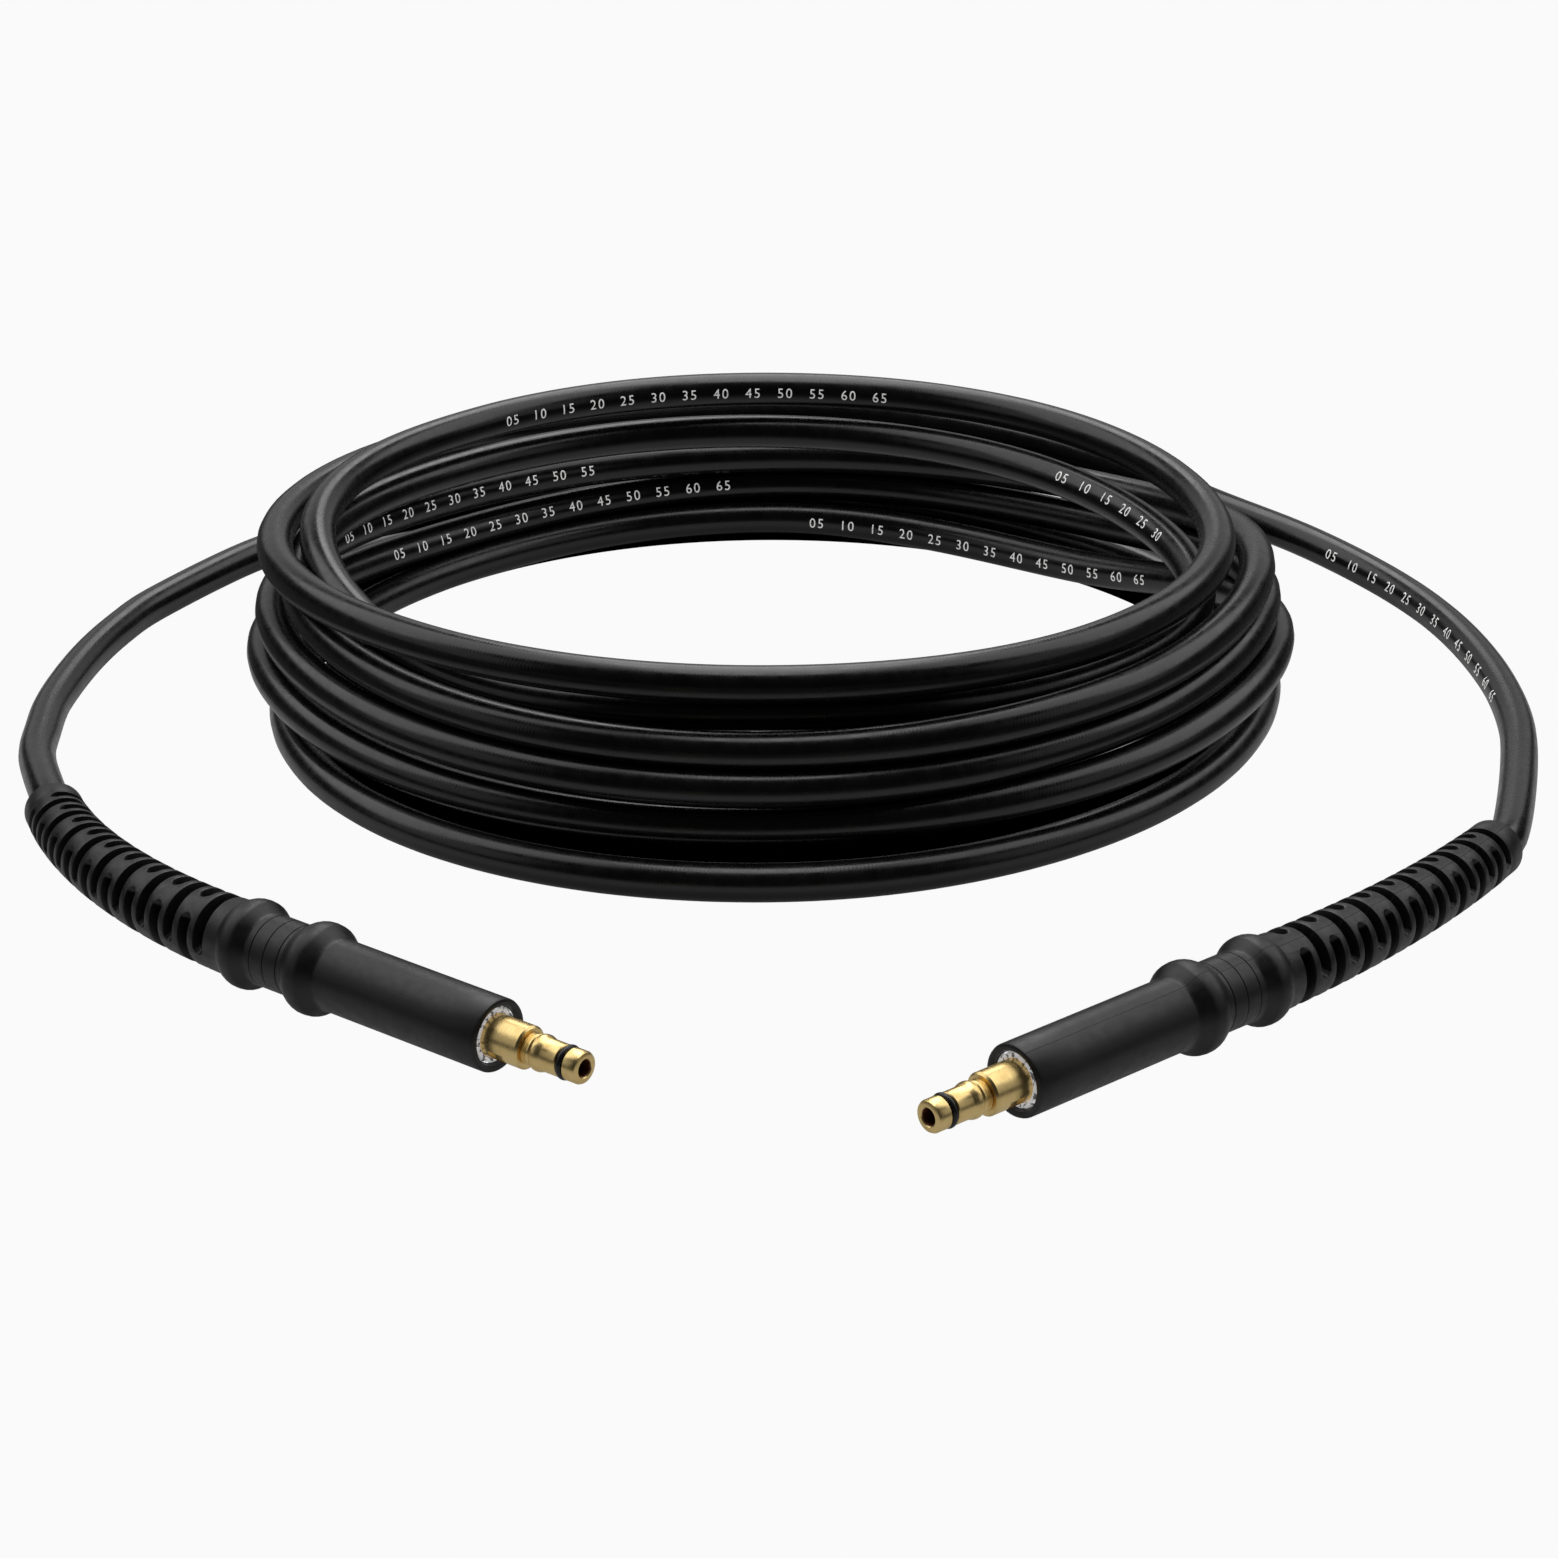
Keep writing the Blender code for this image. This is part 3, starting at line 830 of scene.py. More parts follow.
@dataclass
class PrintedScale:
    """A row of plain numbers printed along the hose, in place of the printing on the real one."""

    start: Triple
    tilt: float
    groups: int = 13
    height: float = 0.0031
    group_pitch: float = 0.0104
    group_step: int = 5
    digit_share: float = 0.70
    digit_spacing: float = 1.25
    cuts: int = 7

    def flat_shape(self) -> BMesh:
        """Make the numbers flat, with X along the hose and Y up.

        Returns:
            The flat shape, cut so that it can bend round the hose.
        """
        shape = bmesh.new()
        for count in range(self.groups):
            text = bpy.data.curves.new("numbers", "FONT")
            text.body = f"{self.group_step * (count + 1):02d}"
            text.size = self.height / self.digit_share
            text.space_character = self.digit_spacing
            flat = mesh_of_curve(text)
            flat.transform(Matrix.Translation((count * self.group_pitch, -self.height / 2, 0.0)))
            shape.from_mesh(flat)
            bpy.data.meshes.remove(flat)
        for cut in range(-(self.cuts // 2), self.cuts // 2 + 1):
            bmesh.ops.bisect_plane(
                shape,
                geom=shape.verts[:] + shape.edges[:] + shape.faces[:],
                plane_co=(0.0, cut * self.height / self.cuts, 0.0),
                plane_no=(0.0, 1.0, 0.0),
            )
        return shape

    def build(self, hose: "Hose") -> Mesh:
        """Bend the numbers onto the hose.

        Args:
            hose: the hose that carries them.

        Returns:
            The numbers as a mesh just proud of the rubber.
        """
        shape = self.flat_shape()
        start = hose.travelled_to(Vector(self.start))
        for corner in shape.verts:
            centre, ahead = hose.at(start + corner.co.x)
            inward = ahead.cross(UP).normalized()
            lifted = inward.cross(ahead).normalized()
            angle = self.tilt - corner.co.y / hose.radius
            outward = math.cos(angle) * lifted + math.sin(angle) * inward
            corner.co = centre + (hose.radius + hose.ink_thickness) * outward
        return mesh_of_shape("numbers", shape)


@dataclass
class Hose:
    """The rubber hose: one tube from grip to grip."""

    route: HoseRoute
    sides: int = 32
    ink_thickness: float = 0.00004
    prints: tuple[PrintedScale, ...] = ()
    centres: list[Vector] = field(default_factory=list)

    @property
    def radius(self) -> float:
        """Outer radius of the hose."""
        return self.route.diameter / 2

    @property
    def length(self) -> float:
        """Length of the hose along its centreline."""
        return sum((b - a).length for a, b in zip(self.centres, self.centres[1:]))

    def at(self, travelled: float) -> tuple[Vector, Vector]:
        """Find a place on the centreline.

        Args:
            travelled: distance from the left end.

        Returns:
            The place and the direction there.
        """
        share = travelled / self.length_of_ring
        ring = min(max(int(share), 0), len(self.centres) - 2)
        here, there = self.centres[ring], self.centres[ring + 1]
        before = self.centres[max(ring - 1, 0)]
        after = self.centres[min(ring + 2, len(self.centres) - 1)]
        part = share - ring
        ahead = (there - before).normalized().lerp((after - here).normalized(), part)
        return here.lerp(there, part), ahead.normalized()

    def travelled_to(self, place: Vector) -> float:
        """Measure the hose from its left end to the ring nearest to a place."""
        ring = min(range(len(self.centres)), key=lambda at: (self.centres[at] - place).length)
        return ring * self.length_of_ring

    @property
    def length_of_ring(self) -> float:
        """Distance from one ring to the next."""
        return (self.centres[1] - self.centres[0]).length

    def tube(self) -> Mesh:
        """Make the tube from a curve with a round bevel.

        Returns:
            The tube's mesh, with its length and turn as a UV map.
        """
        curve = bpy.data.curves.new("hose", "CURVE")
        curve.dimensions = "3D"
        curve.twist_mode = "Z_UP"
        curve.bevel_depth = self.radius
        curve.bevel_resolution = self.sides // 4 - 1
        curve.use_fill_caps = True
        spline = curve.splines.new("POLY")
        spline.points.add(len(self.centres) - 1)
        for point, centre in zip(spline.points, self.centres):
            point.co = (*centre, 1.0)
        mesh = mesh_of_curve(curve)
        self.map_length(mesh)
        mesh.shade_smooth()
        return mesh

    def map_length(self, mesh: Mesh) -> None:
        """Write the UV map: metres along the hose and turns round it.

        Args:
            mesh: the tube, whose corners come ring by ring.
        """
        sides = len(mesh.vertices) // len(self.centres)
        while mesh.uv_layers:
            mesh.uv_layers.remove(mesh.uv_layers[0])
        layer = mesh.uv_layers.new(name=HOSE_UV)
        step = self.length_of_ring
        for face in mesh.polygons:
            turns = [(mesh.loops[i].vertex_index % sides) / sides for i in face.loop_indices]
            wrapped = len(turns) == 4 and max(turns) - min(turns) > 0.5
            for i, turn in zip(face.loop_indices, turns):
                ring = mesh.loops[i].vertex_index // sides
                layer.data[i].uv = (ring * step, turn + 1.0 if wrapped and turn < 0.5 else turn)

    def build(self, fittings: Sequence["Fitting"]) -> None:
        """Args:
            fittings: the left fitting and the right one.
        """
        left, right = fittings
        self.centres = self.route.rings(*left.hose_entry(), *right.hose_entry())
        mesh = self.tube()
        piece = add_piece(
            "hose_tube",
            mesh,
            HoseRubber("hose_rubber").build(),
            ("hose_coil", "left_tail", "right_tail"),
        )
        self.length
        LOG.info("hose length %.3f m", self.length)
        ink = PrintInk("print_ink").build() if self.prints else None
        for count, scale in enumerate(self.prints, 1):
            add_piece(f"printed_numbers_{count}", scale.build(self), ink)


# The fittings


@dataclass
class FittingPart:
    """A part of one fitting, made straight along Z and then moved to its place."""

    side: Side

    def add(
        self,
        node: str,
        form: str,
        shape: BMesh,
        move: Callable[[Vector], Vector],
        finish: Finish,
        slot: Slot,
        sharp: float = 40.0,
    ) -> None:
        """Put the part in the scene.

        Args:
            node, form: its CAD node's name without the side, and what its own name adds.
            shape, move: the straight shape, and what gives a corner its place.
            finish, slot: its finish, and the record's slot, which is not used.
            sharp: angle in degrees from which an edge shows as sharp.
        """
        node = f"{self.side.value}_{node}"
        mesh = finished_mesh(shape, move, sharp)
        add_piece(f"{node}_{form}", mesh, finish.build(), (node,))

    def named(self, finish: str) -> str:
        """Give a finish the side's name."""
        return f"{self.side.value}_{finish}"


@dataclass
class Grip(FittingPart):
    """The moulded grip with its slotted bend protector."""

    turn: float
    roll: float
    line_turned: bool
    sides: int = 44
    gap: float = 0.0003
    sleeve_radius: float = 0.00935
    sleeve_length: float = 0.0525
    mouth_rounding: float = 0.0007
    front_bulge_radius: float = 0.0120
    front_bulge_length: float = 0.0125
    waist_radius: float = 0.0094
    waist_length: float = 0.0115
    waist_groove: float = 0.00022
    groove_places: Triple = (0.10, 0.50, 0.90)
    rear_bulge_radius: float = 0.0117
    rear_bulge_length: float = 0.0105
    protector_front_radius: float = 0.0100
    protector_rear_radius: float = 0.0081
    protector_length: float = 0.1115
    protector_shoulder: float = 0.0030
    collar_length: float = 0.0078
    collar_rounding: float = 0.0006
    collar_groove: Triple = (0.0003, 0.0004, 0.0009)
    slot_rows: int = 18
    slot_width: float = 0.0036
    slot_columns: int = 18
    slot_floor: float = 0.0058
    slot_end_taper: float = 0.34
    slot_end_rounding: float = 0.0005
    slot_rim_rounding: float = 0.00035
    slot_rim_radius: float = 0.0076
    mouth_bore: float = 0.0074
    mouth_depth: float = 0.0203
    hose_bore: float = 0.0055
    hose_depth: float = 0.0030
    bulge_steps: int = 5
    bulge_shape: tuple[Pair, ...] = (
        (0.00, 0.00), (0.10, 0.08), (0.28, 0.62), (0.42, 0.96),
        (0.64, 1.00), (0.82, 0.66), (0.96, 0.10), (1.00, 0.00),
    )

    def __post_init__(self) -> None:
        """Work out how far behind the mouth each form starts."""
        self.front_bulge = self.sleeve_length
        self.waist = self.front_bulge + self.front_bulge_length
        self.rear_bulge = self.waist + self.waist_length
        self.protector = self.rear_bulge + self.rear_bulge_length
        self.rear = self.protector + self.protector_length

    def slots(self) -> list[Pair]:
        """Lay out the rows of slots.

        Returns:
            Where each row starts and stops behind the mouth, from the collar forwards.
        """
        land = self.rear - self.collar_length
        slotted = self.protector_length - self.protector_shoulder - self.collar_length
        pitch = slotted / self.slot_rows
        middles = [land - (row + 0.5) * pitch for row in range(self.slot_rows)]
        return [(m - self.slot_width / 2, m + self.slot_width / 2) for m in middles]

    def protector_radius(self, behind: float) -> float:
        """Give the protector's radius, which tapers evenly towards the collar."""
        share = (behind - self.protector) / self.protector_length
        fall = self.protector_rear_radius - self.protector_front_radius
        return self.protector_front_radius + fall * share

    def bulge(
        self, start: float, length: float, before: float, peak: float, after: float
    ) -> Outline:
        """Draw one round bulge.

        Args:
            start, length: where it starts behind the mouth, and its length.
            before, peak, after: the radius in front of it, its own and the one behind it.

        Returns:
            Its points from front to rear.
        """
        knots = []
        for share, rise in self.bulge_shape:
            foot = before if share < 0.5 else after
            knots.append(Vector((foot + (peak - foot) * rise, -(start + share * length))))
        return [(point.x, point.y) for point in smooth_points(knots, self.bulge_steps)]

    def waist_points(self) -> Outline:
        """Draw the waist.

        Returns:
            Its points with those of its three fine grooves, from front to rear.
        """
        points: Outline = []
        for share in self.groove_places:
            middle = self.waist + share * self.waist_length
            for off, sink in ((-0.8, 0.0), (-0.25, 1.0), (0.25, 1.0), (0.8, 0.0)):
                behind = middle + off * self.waist_groove
                points.append((self.waist_radius - sink * self.waist_groove, -behind))
        return points

    def outline(self) -> Outline:
        """Draw half the section of the straight grip.

        Returns:
            Points from the bottom of the mouth's bore, over the outside, into the hose's hole.
        """
        edge, bore, sleeve = self.mouth_rounding, self.mouth_bore, self.sleeve_radius
        points: Outline = [(0.0, -self.mouth_depth), (bore, -self.mouth_depth)]
        points += [(bore, -edge), (bore + edge * 0.3, -edge * 0.3), (bore + edge, 0.0)]
        points += [(sleeve - edge, 0.0), (sleeve - edge * 0.3, -edge * 0.3), (sleeve, -edge)]
        points += [(sleeve, -share * self.sleeve_length) for share in (0.25, 0.5, 0.75)]
        points += self.bulge(
            self.front_bulge,
            self.front_bulge_length,
            sleeve,
            self.front_bulge_radius,
            self.waist_radius,
        )
        points += self.waist_points()
        points += self.bulge(
            self.rear_bulge,
            self.rear_bulge_length,
            self.waist_radius,
            self.rear_bulge_radius,
            self.protector_front_radius,
        )
        for start, stop in reversed(self.slots()):
            points += [(self.protector_radius(at), -at) for at in (start, stop)]
        land = self.rear - self.collar_length
        sink, bottom, top = self.collar_groove
        points.append((self.protector_radius(land) - sink, -land - bottom))
        edge, collar, bore = self.collar_rounding, self.protector_rear_radius, self.hose_bore
        points += [(collar, -land - top), (collar, -self.rear + edge)]
        points += [(collar - edge * 0.3, -self.rear + edge * 0.3), (collar - edge, -self.rear)]
        points += [(bore + edge * 0.5, -self.rear), (bore, -self.rear + edge * 0.5)]
        points += [(at, -self.rear + self.hose_depth) for at in (bore, 0.0)]
        return points

    def slot_faces(self, shape: BMesh, start: float, stop: float, middle: float) -> list[BMFace]:
        """Choose the faces of one slot.

        Args:
            shape: the straight grip.
            start: where the slot starts behind the mouth.
            stop: where it stops.
            middle: the angle of its middle.

        Returns:
            Its faces.
        """
        half_span = math.pi * self.slot_columns / self.sides
        outside = self.protector_rear_radius * 0.8
        chosen = []
        for face in shape.faces:
            place = face.calc_center_median()
            if not start < -place.z < stop or math.hypot(place.x, place.y) < outside:
                continue
            off = math.remainder(math.atan2(place.x, place.y) - middle, FULL_TURN)
            if abs(off) < half_span:
                chosen.append(face)
        return chosen

    def sink_slot(self, shape: BMesh, chosen: list[BMFace]) -> list[BMEdge]:
        """Sink one slot.

        Args:
            shape: the straight grip.
            chosen: the slot's faces.

        Returns:
            The upright edges at its corners.
        """
        corners = {corner for face in chosen for corner in face.verts}
        middle = sum(corner.co.z for corner in corners) / len(corners)
        kept = set(chosen)
        for corner in corners:
            if sum(face in kept for face in corner.link_faces) == 1:
                corner.co.z += 2 * self.slot_end_taper * (middle - corner.co.z)
        known = set(shape.faces)
        sunk, floor = sink_faces(shape, chosen)
        for corner in sunk:
            corner.co.xy *= self.slot_floor / corner.co.xy.length
        walls = [face for face in shape.faces if face not in known and face not in floor]
        for wall in walls:
            wall.normal_update()
        made = set(walls)
        upright: dict[BMEdge, None] = {}
        for wall in walls:
            for edge in wall.edges:
                beside = [face for face in edge.link_faces if face in made]
                if len(beside) == 2 and beside[0].normal.dot(beside[1].normal) < 0.9:
                    upright[edge] = None
        return list(upright)

    def cut_slots(self, shape: BMesh) -> None:
        """Sink the slots, two in each row, turned a quarter from one row to the next.

        Args:
            shape: the straight grip.
        """
        upright: list[BMEdge] = []
        for row, (start, stop) in enumerate(self.slots()):
            for centre in (0.0, math.pi):
                middle = centre + (row % 2) * math.pi / 2
                upright += self.sink_slot(shape, self.slot_faces(shape, start, stop, middle))
        shape.normal_update()
        round_edges(shape, upright, self.slot_end_rounding, 4)
        rims = [edge for edge in shape.edges if self.is_rim(edge)]
        round_edges(shape, rims, self.slot_rim_rounding, 2)

    def is_rim(self, edge: BMEdge) -> bool:
        """Tell whether an edge is a rim of a slot.

        Args:
            edge: an edge of the straight grip.

        Returns:
            Whether a slot's wall meets the protector's outside there.
        """
        if len(edge.link_faces) != 2:
            return False
        outward = []
        for face in edge.link_faces:
            place = face.calc_center_median()
            radial = Vector((place.x, place.y, 0.0))
            outward.append(face.normal.dot(radial.normalized()) if radial.length else 0.0)
        behind = -(edge.verts[0].co.z + edge.verts[1].co.z) / 2
        height = min(corner.co.xy.length for corner in edge.verts)
        slotted = self.protector < behind < self.rear - self.collar_length
        steep = max(outward) > 0.9 and min(outward) < 0.5
        return slotted and steep and height > self.slot_rim_radius

    def axis(self, behind: float) -> tuple[Vector, Vector, Vector]:
        """Follow the grip's axis, which bends as the hose lies.

        Args:
            behind: distance behind the mouth.

        Returns:
            The place, the sideways direction and the forward direction.
        """
        along = behind - self.protector
        if along <= 0.0:
            return Vector((0.0, 0.0, -behind)), Vector((1.0, 0.0, 0.0)), UP.copy()
        share = min(1.0, along / self.protector_length)
        angle = self.turn * share
        radius = self.protector_length / self.turn
        drop = (self.front_bulge_radius - self.protector_rear_radius) * share * share
        across, ahead = math.cos(angle), math.sin(angle)
        place = Vector((-radius * (1 - across), -drop, -self.protector - radius * ahead))
        return place, Vector((across, 0.0, -ahead)), Vector((ahead, 0.0, across))

    def bend(self, corner: Vector) -> Vector:
        """Roll a point of the straight grip about its axis and bend it as the grip bends."""
        across = Matrix.Rotation(-self.roll, 2) @ corner.xy
        place, sideways, _ = self.axis(-corner.z)
        return place + across.x * sideways + across.y * Vector((0.0, 1.0, 0.0))

    def build(self, place: Matrix) -> None:
        """Build the grip.

        Args:
            place: the fitting's place on the floor.
        """
        shape = turned_shape(self.outline(), self.sides)
        self.cut_slots(shape)
        finish = GripMoulding(self.named("grip_moulding"), line_turned=self.line_turned)
        self.add("grip", "moulding", shape, lambda at: place @ self.bend(at), finish, Slot.GRIP)


@dataclass
class Ferrule(FittingPart):
    """The steel ferrule in the grip's mouth, with a crimped front edge."""

    sides: int = 64
    radius: float = 0.0071
    bore: float = 0.0056
    recess: float = 0.0008
    length: float = 0.0190
    chamfer: float = 0.0005
    bore_chamfer: float = 0.0001
    crimp_depth: float = 0.00035
    crimp_share: float = 0.75
    crimp_waves: tuple[Triple, ...] = ((1.0, 7, 0.4), (0.8, 12, 1.9))

    def is_pressed(self, face: BMFace) -> bool:
        """Tell whether the crimping tool pressed a face, at uneven steps round the front.

        Args:
            face: a face of the straight ferrule.

        Returns:
            Whether it is pressed.
        """
        middle = face.calc_center_median()
        turn = math.atan2(middle.x, middle.y)
        press = sum(size * math.sin(count * turn + off) for size, count, off in self.crimp_waves)
        outer = middle.xy.length > self.radius - self.chamfer
        return face.normal.z > 0.4 and outer and press > self.crimp_share

    def build(self, place: Matrix) -> None:
        """Build the ferrule.

        Args:
            place: the fitting's place on the floor.
        """
        front, edge = -self.recess, -self.recess - self.chamfer
        outline = [(self.bore, front - self.length), (self.bore, edge)]
        outline += [(self.bore + self.bore_chamfer, front), (self.radius - self.chamfer, front)]
        outline += [(self.radius, edge), (self.radius, front - self.length)]
        shape = turned_shape(outline, self.sides, closed=True)
        sunk, _ = sink_faces(shape, [face for face in shape.faces if self.is_pressed(face)])
        bmesh.ops.translate(shape, verts=sunk, vec=(0.0, 0.0, -self.crimp_depth))
        bmesh.ops.recalc_face_normals(shape, faces=shape.faces[:])
        finish = TurnedMetal(
            self.named("ferrule_steel"),
            bright=(0.97, 0.97, 0.98, 1.0),
            dull=(0.16, 0.16, 0.17, 1.0),
            tarnish=Patches(620.0, 4.0, 0.52, 0.60),
            roughness=(0.34, 0.50),
            metallic=0.10,
            # Painted light: the ferrule glows so that it stays near white.
            painted_glow=0.25,
        )
        self.add("ferrule", "crimped", shape, lambda at: place @ at, finish, Slot.FERRULE)


@dataclass
class Nipple(FittingPart):
    """The brass plug nipple with its O-ring: stem, ringed neck, seat, plug and end ring."""

    pocket_angle: float
    sides: int = 64
    shank_radius: float = 0.0052
    shank_length: float = 0.0200
    stem_radius: float = 0.0055
    stem_start: float = -0.0014
    stem_length: float = 0.0104
    stem_chamfer: Pair = (0.0005, 0.0006)
    neck_radius: float = 0.0039
    neck_length: float = 0.0017
    neck_lines: int = 4
    neck_line_height: float = 0.00022
    neck_ring_radius: float = 0.0043
    neck_ring_length: float = 0.0010
    seat_radius: float = 0.0047
    seat_length: float = 0.0021
    seat_taper: float = 0.0010
    seat_shape: tuple[Pair, ...] = (
        (0.15, 0.55), (0.35, 0.92), (0.55, 1.00), (0.80, 0.97), (1.00, 0.82),
    )
    plug_radius: float = 0.00415
    plug_length: float = 0.0050
    plug_flare: float = 0.0001
    end_ring_length: float = 0.0041
    end_chamfer: float = 0.0008
    bore_radius: float = 0.0021
    bore_depth: float = 0.0150
    bore_chamfer: float = 0.0004
    fine_chamfer: float = 0.00025
    break_edge: float = 0.0002
    seal_radius: float = 0.00365
    seal_thickness: float = 0.0016
    seal_sides: int = 18
    gap: float = 0.0003
    pocket_start: float = 0.0011
    pocket_stop: float = 0.0058
    pocket_columns: int = 8
    pocket_depth: float = 0.0006

    def __post_init__(self) -> None:
        """Work out how far in front of the mouth each form starts."""
        self.neck_ring = self.stem_length + self.neck_length
        self.seat = self.neck_ring + self.neck_ring_length
        self.plug = self.seat + self.seat_length + self.seat_taper
        self.groove = self.plug + self.plug_length
        self.end_ring = self.groove + self.seal_thickness + 2 * self.gap
        self.tip = self.end_ring + self.end_ring_length

    def stem_points(self) -> Outline:
        """Draw the shank, the stem and the lined neck.

        Returns:
            Points from the hidden end of the shank to the neck's ring.
        """
        fine, rounded = self.fine_chamfer, self.break_edge
        shank, radius, stem = self.shank_radius, self.stem_radius, self.stem_length
        points: Outline = [(0.0, -self.shank_length), (shank, -self.shank_length)]
        points += [(shank, self.stem_start - fine), (radius - rounded, self.stem_start)]
        points += [(radius, self.stem_start + rounded)]
        points += [(radius, self.pocket_start), (radius, self.pocket_stop)]
        inwards, behind = self.stem_chamfer
        points += [(radius, stem - behind), (radius - inwards, stem)]
        pitch = self.neck_length / self.neck_lines
        for line in range(self.neck_lines):
            for share, rise in ((0.25, 0.0), (0.55, 0.0), (0.75, 1.0), (0.95, 1.0)):
                high = self.neck_radius + rise * self.neck_line_height
                points.append((high, stem + line * pitch + pitch * share))
        return points

    def outline(self) -> Outline:
        """Draw half the nipple's section.

        Returns:
            Points from the hidden end of the shank, over the outside, into the bore.
        """
        fine, ring, plug, tip = self.fine_chamfer, self.neck_ring_radius, self.plug_radius, self.tip
        foot = ring - self.break_edge
        points = self.stem_points()
        points += [(ring - fine, self.neck_ring), (ring, self.neck_ring + fine)]
        points += [(ring, self.seat - fine), (foot, self.seat)]
        for share, rise in self.seat_shape:
            high = foot + (self.seat_radius - foot) * rise
            points.append((high, self.seat + share * self.seat_length))
        points += [(plug + self.plug_flare, self.plug), (plug, self.plug + fine)]
        points += [(plug, self.groove - fine), (plug - fine, self.groove)]
        floor = self.seal_radius - self.seal_thickness / 2 - self.gap
        points += [(floor, self.groove), (floor, self.end_ring), (plug - fine, self.end_ring)]
        edge, bore, deep = self.end_chamfer, self.bore_radius, tip - self.bore_depth
        points += [(plug, self.end_ring + fine), (plug, tip - edge)]
        points += [(plug - edge * 0.35, tip - edge * 0.3), (plug - edge, tip)]
        points += [(bore + self.bore_chamfer, tip), (bore, tip - self.bore_chamfer)]
        return points + [(bore, deep), (0.0, deep)]

    def mill_pocket(self, shape: BMesh) -> None:
        """Sink the shallow pocket in the stem.

        Args:
            shape: the turned nipple.
        """
        half_span = math.pi * self.pocket_columns / self.sides
        bottom = self.stem_radius - self.pocket_depth
        chosen = []
        for face in shape.faces:
            place = face.calc_center_median()
            off = math.remainder(math.atan2(place.x, place.y) - self.pocket_angle, FULL_TURN)
            on_stem = self.pocket_start < place.z < self.pocket_stop
            if on_stem and abs(off) < half_span and place.xy.length > bottom:
                chosen.append(face)
        sunk, _ = sink_faces(shape, chosen)
        way = Vector((math.sin(self.pocket_angle), math.cos(self.pocket_angle), 0.0))
        flat = bottom * math.cos(half_span * 0.5)
        for corner in sunk:
            corner.co -= way * max(corner.co.dot(way) - flat, 0.0)
        bmesh.ops.recalc_face_normals(shape, faces=shape.faces[:])

    def build(self, place: Matrix) -> None:
        """Build the nipple and the O-ring in its groove.

        Args:
            place: the fitting's place on the floor.
        """
        shape = turned_shape(self.outline(), self.sides)
        self.mill_pocket(shape)
        bore = self.bore_radius + self.break_edge
        brass = TurnedMetal(self.named("nipple_brass"), bore_radius=bore)
        self.add("nipple", "turned", shape, lambda at: place @ at, brass, Slot.NIPPLE, 32.0)
        middle, thick = (self.groove + self.end_ring) / 2, self.seal_thickness / 2
        around = [FULL_TURN * step / self.seal_sides for step in range(self.seal_sides)]
        outline = [
            (self.seal_radius + thick * math.cos(a), middle + thick * math.sin(a)) for a in around
        ]
        shape = turned_shape(outline, self.sides, closed=True)
        rubber = SealRubber(self.named("o_ring_rubber"))
        self.add("o_ring", "seal", shape, lambda at: place @ at, rubber, Slot.SEAL)


@dataclass
class Fitting:
    """One end of the hose: grip, ferrule, nipple and O-ring."""

    side: Side
    mouth: Pair
    heading: float
    turn: float
    roll: float
    line_turned: bool
    pocket_angle: float

    def __post_init__(self) -> None:
        """Make the parts of the fitting."""
        self.grip = Grip(self.side, self.turn, self.roll, self.line_turned)
        self.ferrule = Ferrule(self.side)
        self.nipple = Nipple(self.side, self.pocket_angle)

    @property
    def place(self) -> Matrix:
        """Place of the fitting: Z forwards along its heading and Y up."""
        forward = Vector((math.cos(self.heading), math.sin(self.heading), 0.0))
        turned = Matrix((UP.cross(forward), UP, forward)).transposed().to_4x4()
        return Matrix.Translation((*self.mouth, self.grip.front_bulge_radius)) @ turned

    def hose_entry(self) -> tuple[Vector, Vector]:
        """Find where the hose enters the grip.

        Returns:
            The place on the grip's axis and the direction out along the hose.
        """
        end, _, forward = self.grip.axis(self.grip.rear)
        outward = (self.place.to_3x3() @ -forward).normalized()
        return self.place @ end - outward * (self.grip.hose_depth - self.grip.gap), outward

    def build(self) -> None:
        """Build every piece of the fitting."""
        for part in (self.grip, self.ferrule, self.nipple):
            part.build(self.place)


# The studio


@dataclass
class Lamp:
    """A soft box."""

    name: str
    place: Triple
    aim: Triple
    width: float
    height: float
    power: float

    def build(self) -> None:
        """Hang the soft box."""
        light = bpy.data.lights.new(self.name, "AREA")
        light.shape = "RECTANGLE"
        light.size = self.width
        light.size_y = self.height
        light.energy = self.power
        holder = put(self.name, light)
        holder.location = self.place
        way = Vector(self.aim) - Vector(self.place)
        holder.rotation_euler = way.to_track_quat("-Z", "Y").to_euler()
        holder.visible_camera = False


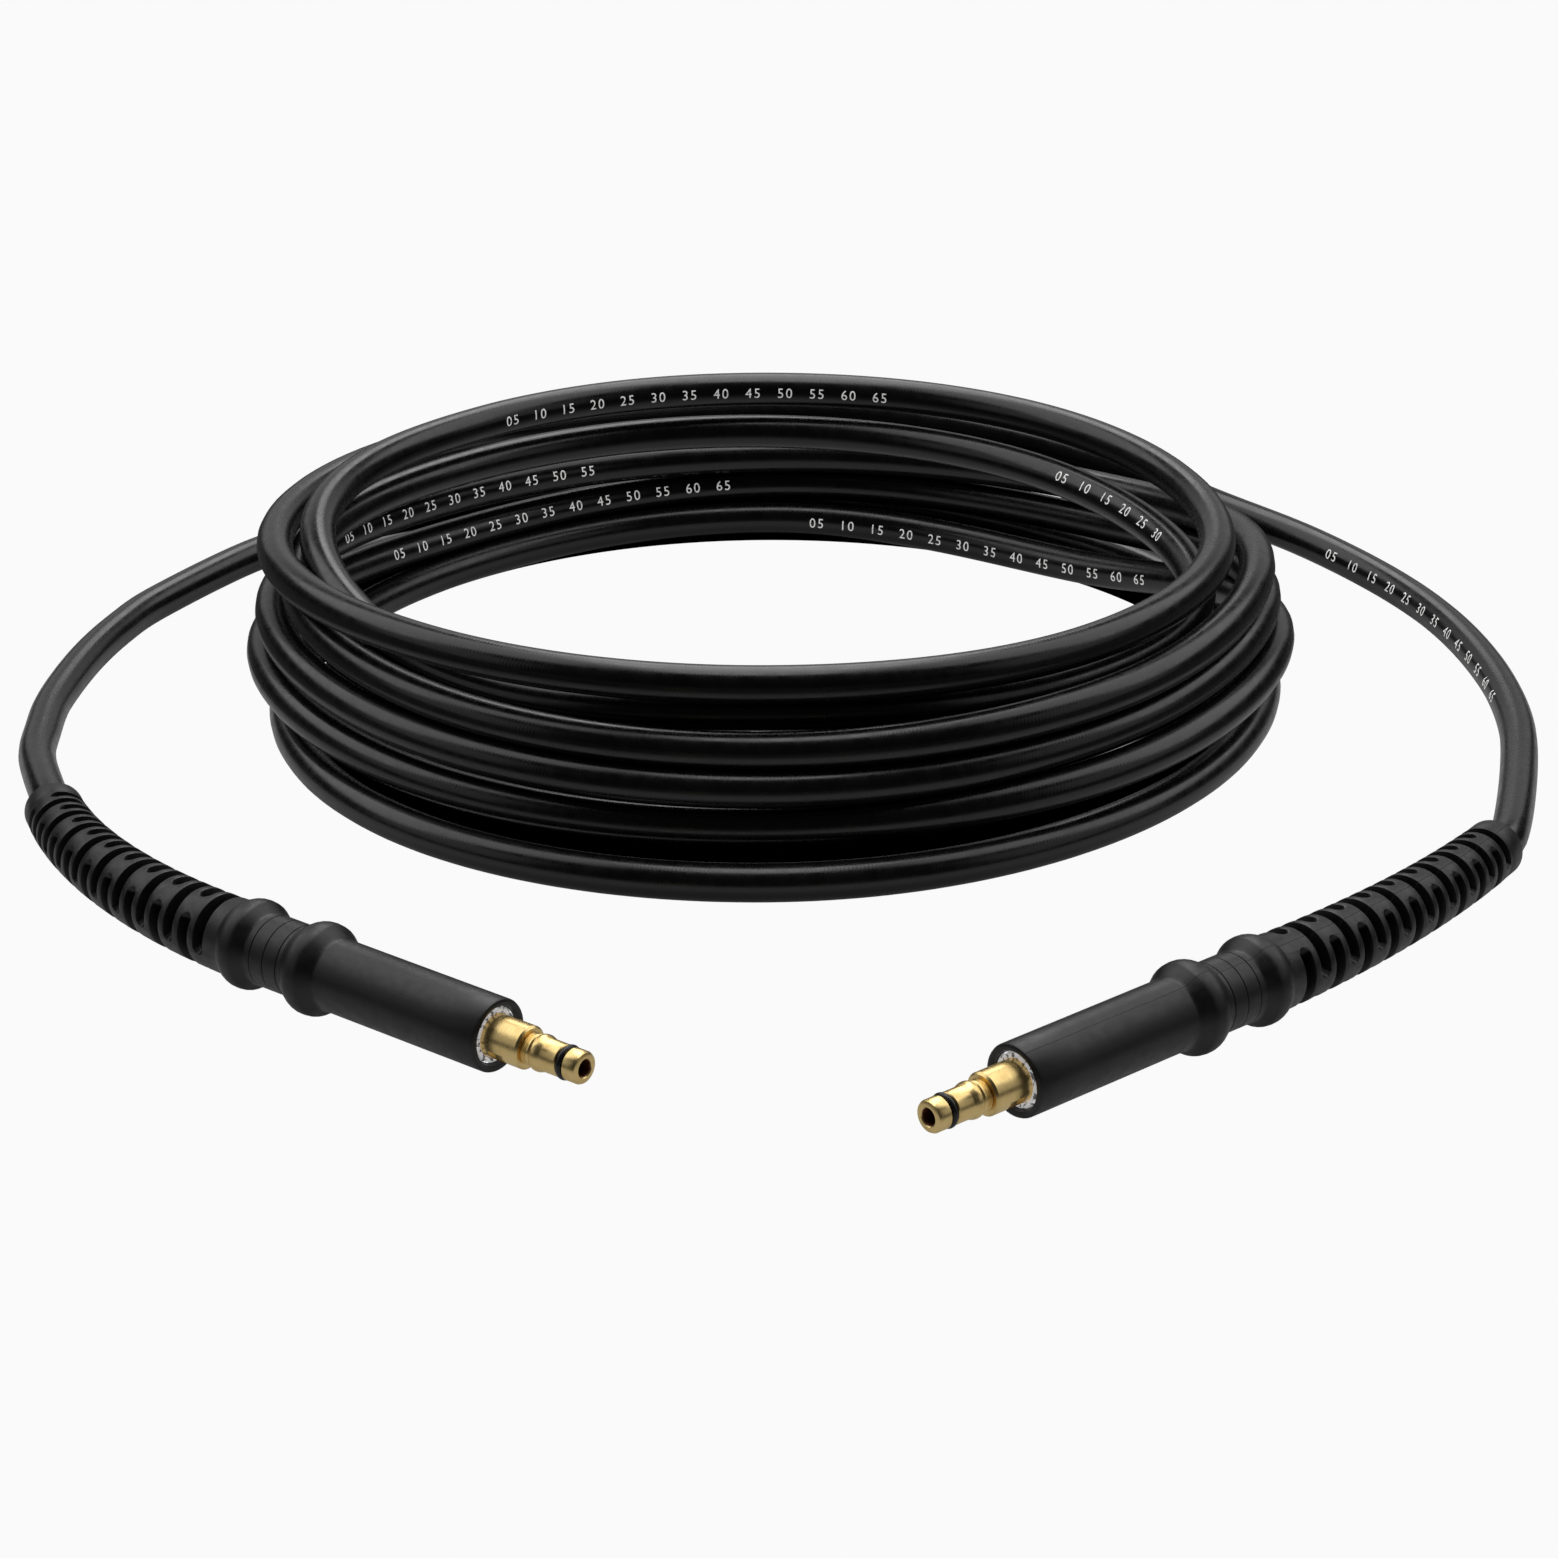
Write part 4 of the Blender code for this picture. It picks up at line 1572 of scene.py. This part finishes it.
@dataclass
class Studio:
    """Pale floor, soft light and the photograph's camera."""

    camera_place: Triple = (0.003558, -0.963964, 0.467312)
    camera_pitch: float = math.radians(23.1)
    photo_pixels: float = 1558.0
    focal_pixels: float = 4234.0
    sensor: float = 36.0
    floor_size: float = 12.0
    sky: float = 0.020
    backdrop: float = 0.955
    lamps: tuple[Lamp, ...] = (
        Lamp("top_box", (0.0, 0.75, 1.35), (0.0, 0.12, 0.0), 0.6, 2.2, 12.0),
        Lamp("left_box", (-0.90, 0.55, 1.15), (0.0, 0.12, 0.0), 1.4, 1.5, 9.2),
        Lamp("right_box", (0.90, 0.55, 1.15), (0.0, 0.12, 0.0), 1.4, 1.5, 9.2),
        Lamp("back_strip", (0.0, 2.2, 0.60), (0.0, 0.2, 0.05), 3.0, 1.0, 4.0),
        Lamp("left_fill", (-1.25, -0.25, 0.55), (0.0, 0.12, 0.0), 1.0, 0.8, 0.9),
        Lamp("right_fill", (1.25, -0.25, 0.55), (0.0, 0.12, 0.0), 1.0, 0.8, 0.9),
    )

    def build_camera(self) -> None:
        """Place the camera."""
        camera = bpy.data.cameras.new("photo_camera")
        camera.sensor_fit = "HORIZONTAL"
        camera.sensor_width = self.sensor
        camera.lens = self.sensor * self.focal_pixels / self.photo_pixels
        camera.clip_start = 0.01
        holder = put("photo_camera", camera)
        holder.location = self.camera_place
        holder.rotation_euler = (math.pi / 2 - self.camera_pitch, 0.0, 0.0)
        bpy.context.scene.camera = holder

    def build_floor(self) -> None:
        """Lay the floor."""
        shape = bmesh.new()
        bmesh.ops.create_grid(shape, x_segments=1, y_segments=1, size=self.floor_size / 2)
        mesh = mesh_of_shape("floor", shape)
        mesh.materials.append(PaleFloor("pale_floor").build())
        floor = put("floor", mesh)

    def build_sky(self) -> None:
        """Surround the studio: a pale backdrop for the camera, dim walls for everything else."""
        world = bpy.data.worlds.new("studio")
        world.use_nodes = True
        bpy.context.scene.world = world
        sheet = NodeSheet(world.node_tree)
        seen = sheet.node("LightPath").outputs["Is Camera Ray"]
        strength = sheet.math("MULTIPLY_ADD", seen, self.backdrop - self.sky, self.sky)
        background = world.node_tree.nodes["Background"]
        sheet.feed(background, {"Color": WHITE, "Strength": strength})

    def build(self) -> None:
        """Set up the studio."""
        self.build_camera()
        self.build_floor()
        self.build_sky()
        for lamp in self.lamps:
            lamp.build()
        bpy.context.scene.view_settings.view_transform = "Standard"


def main() -> None:
    """Build the studio, the fittings and the hose."""
    logging.basicConfig(level=logging.INFO, format="%(message)s")
    Studio().build()
    left = Fitting(
        Side.LEFT,
        mouth=(-0.0637, -0.0537),
        heading=math.radians(-38.7),
        turn=math.radians(-34),
        roll=math.radians(58),
        line_turned=True,
        pocket_angle=math.radians(-128),
    )
    right = Fitting(
        Side.RIGHT,
        mouth=(0.0586, -0.0775),
        heading=math.radians(-138.7),
        turn=math.radians(19),
        roll=math.radians(22),
        line_turned=False,
        pocket_angle=math.radians(128),
    )
    left.build()
    right.build()
    prints = (
        PrintedScale((-0.0839, 0.2850, 0.0557), math.radians(86)),
        PrintedScale((-0.1323, 0.2456, 0.0298), math.radians(75), groups=11),
        PrintedScale((0.0915, 0.2697, 0.0408), math.radians(55), groups=6),
        PrintedScale((-0.1194, 0.2691, 0.0157), math.radians(70)),
        PrintedScale((0.0159, 0.3306, 0.0066), math.radians(85)),
        PrintedScale((0.1801, 0.2968, 0.0065), math.radians(68)),
    )
    Hose(HoseRoute(), prints=prints).build((left, right))


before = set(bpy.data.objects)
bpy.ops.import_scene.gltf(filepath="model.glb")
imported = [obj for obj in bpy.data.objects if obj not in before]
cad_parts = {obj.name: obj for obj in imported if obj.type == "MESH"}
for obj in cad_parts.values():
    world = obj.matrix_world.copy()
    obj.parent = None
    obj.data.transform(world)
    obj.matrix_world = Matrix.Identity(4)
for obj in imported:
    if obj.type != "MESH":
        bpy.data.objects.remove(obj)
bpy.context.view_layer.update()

if __name__ == "__main__":
    main()
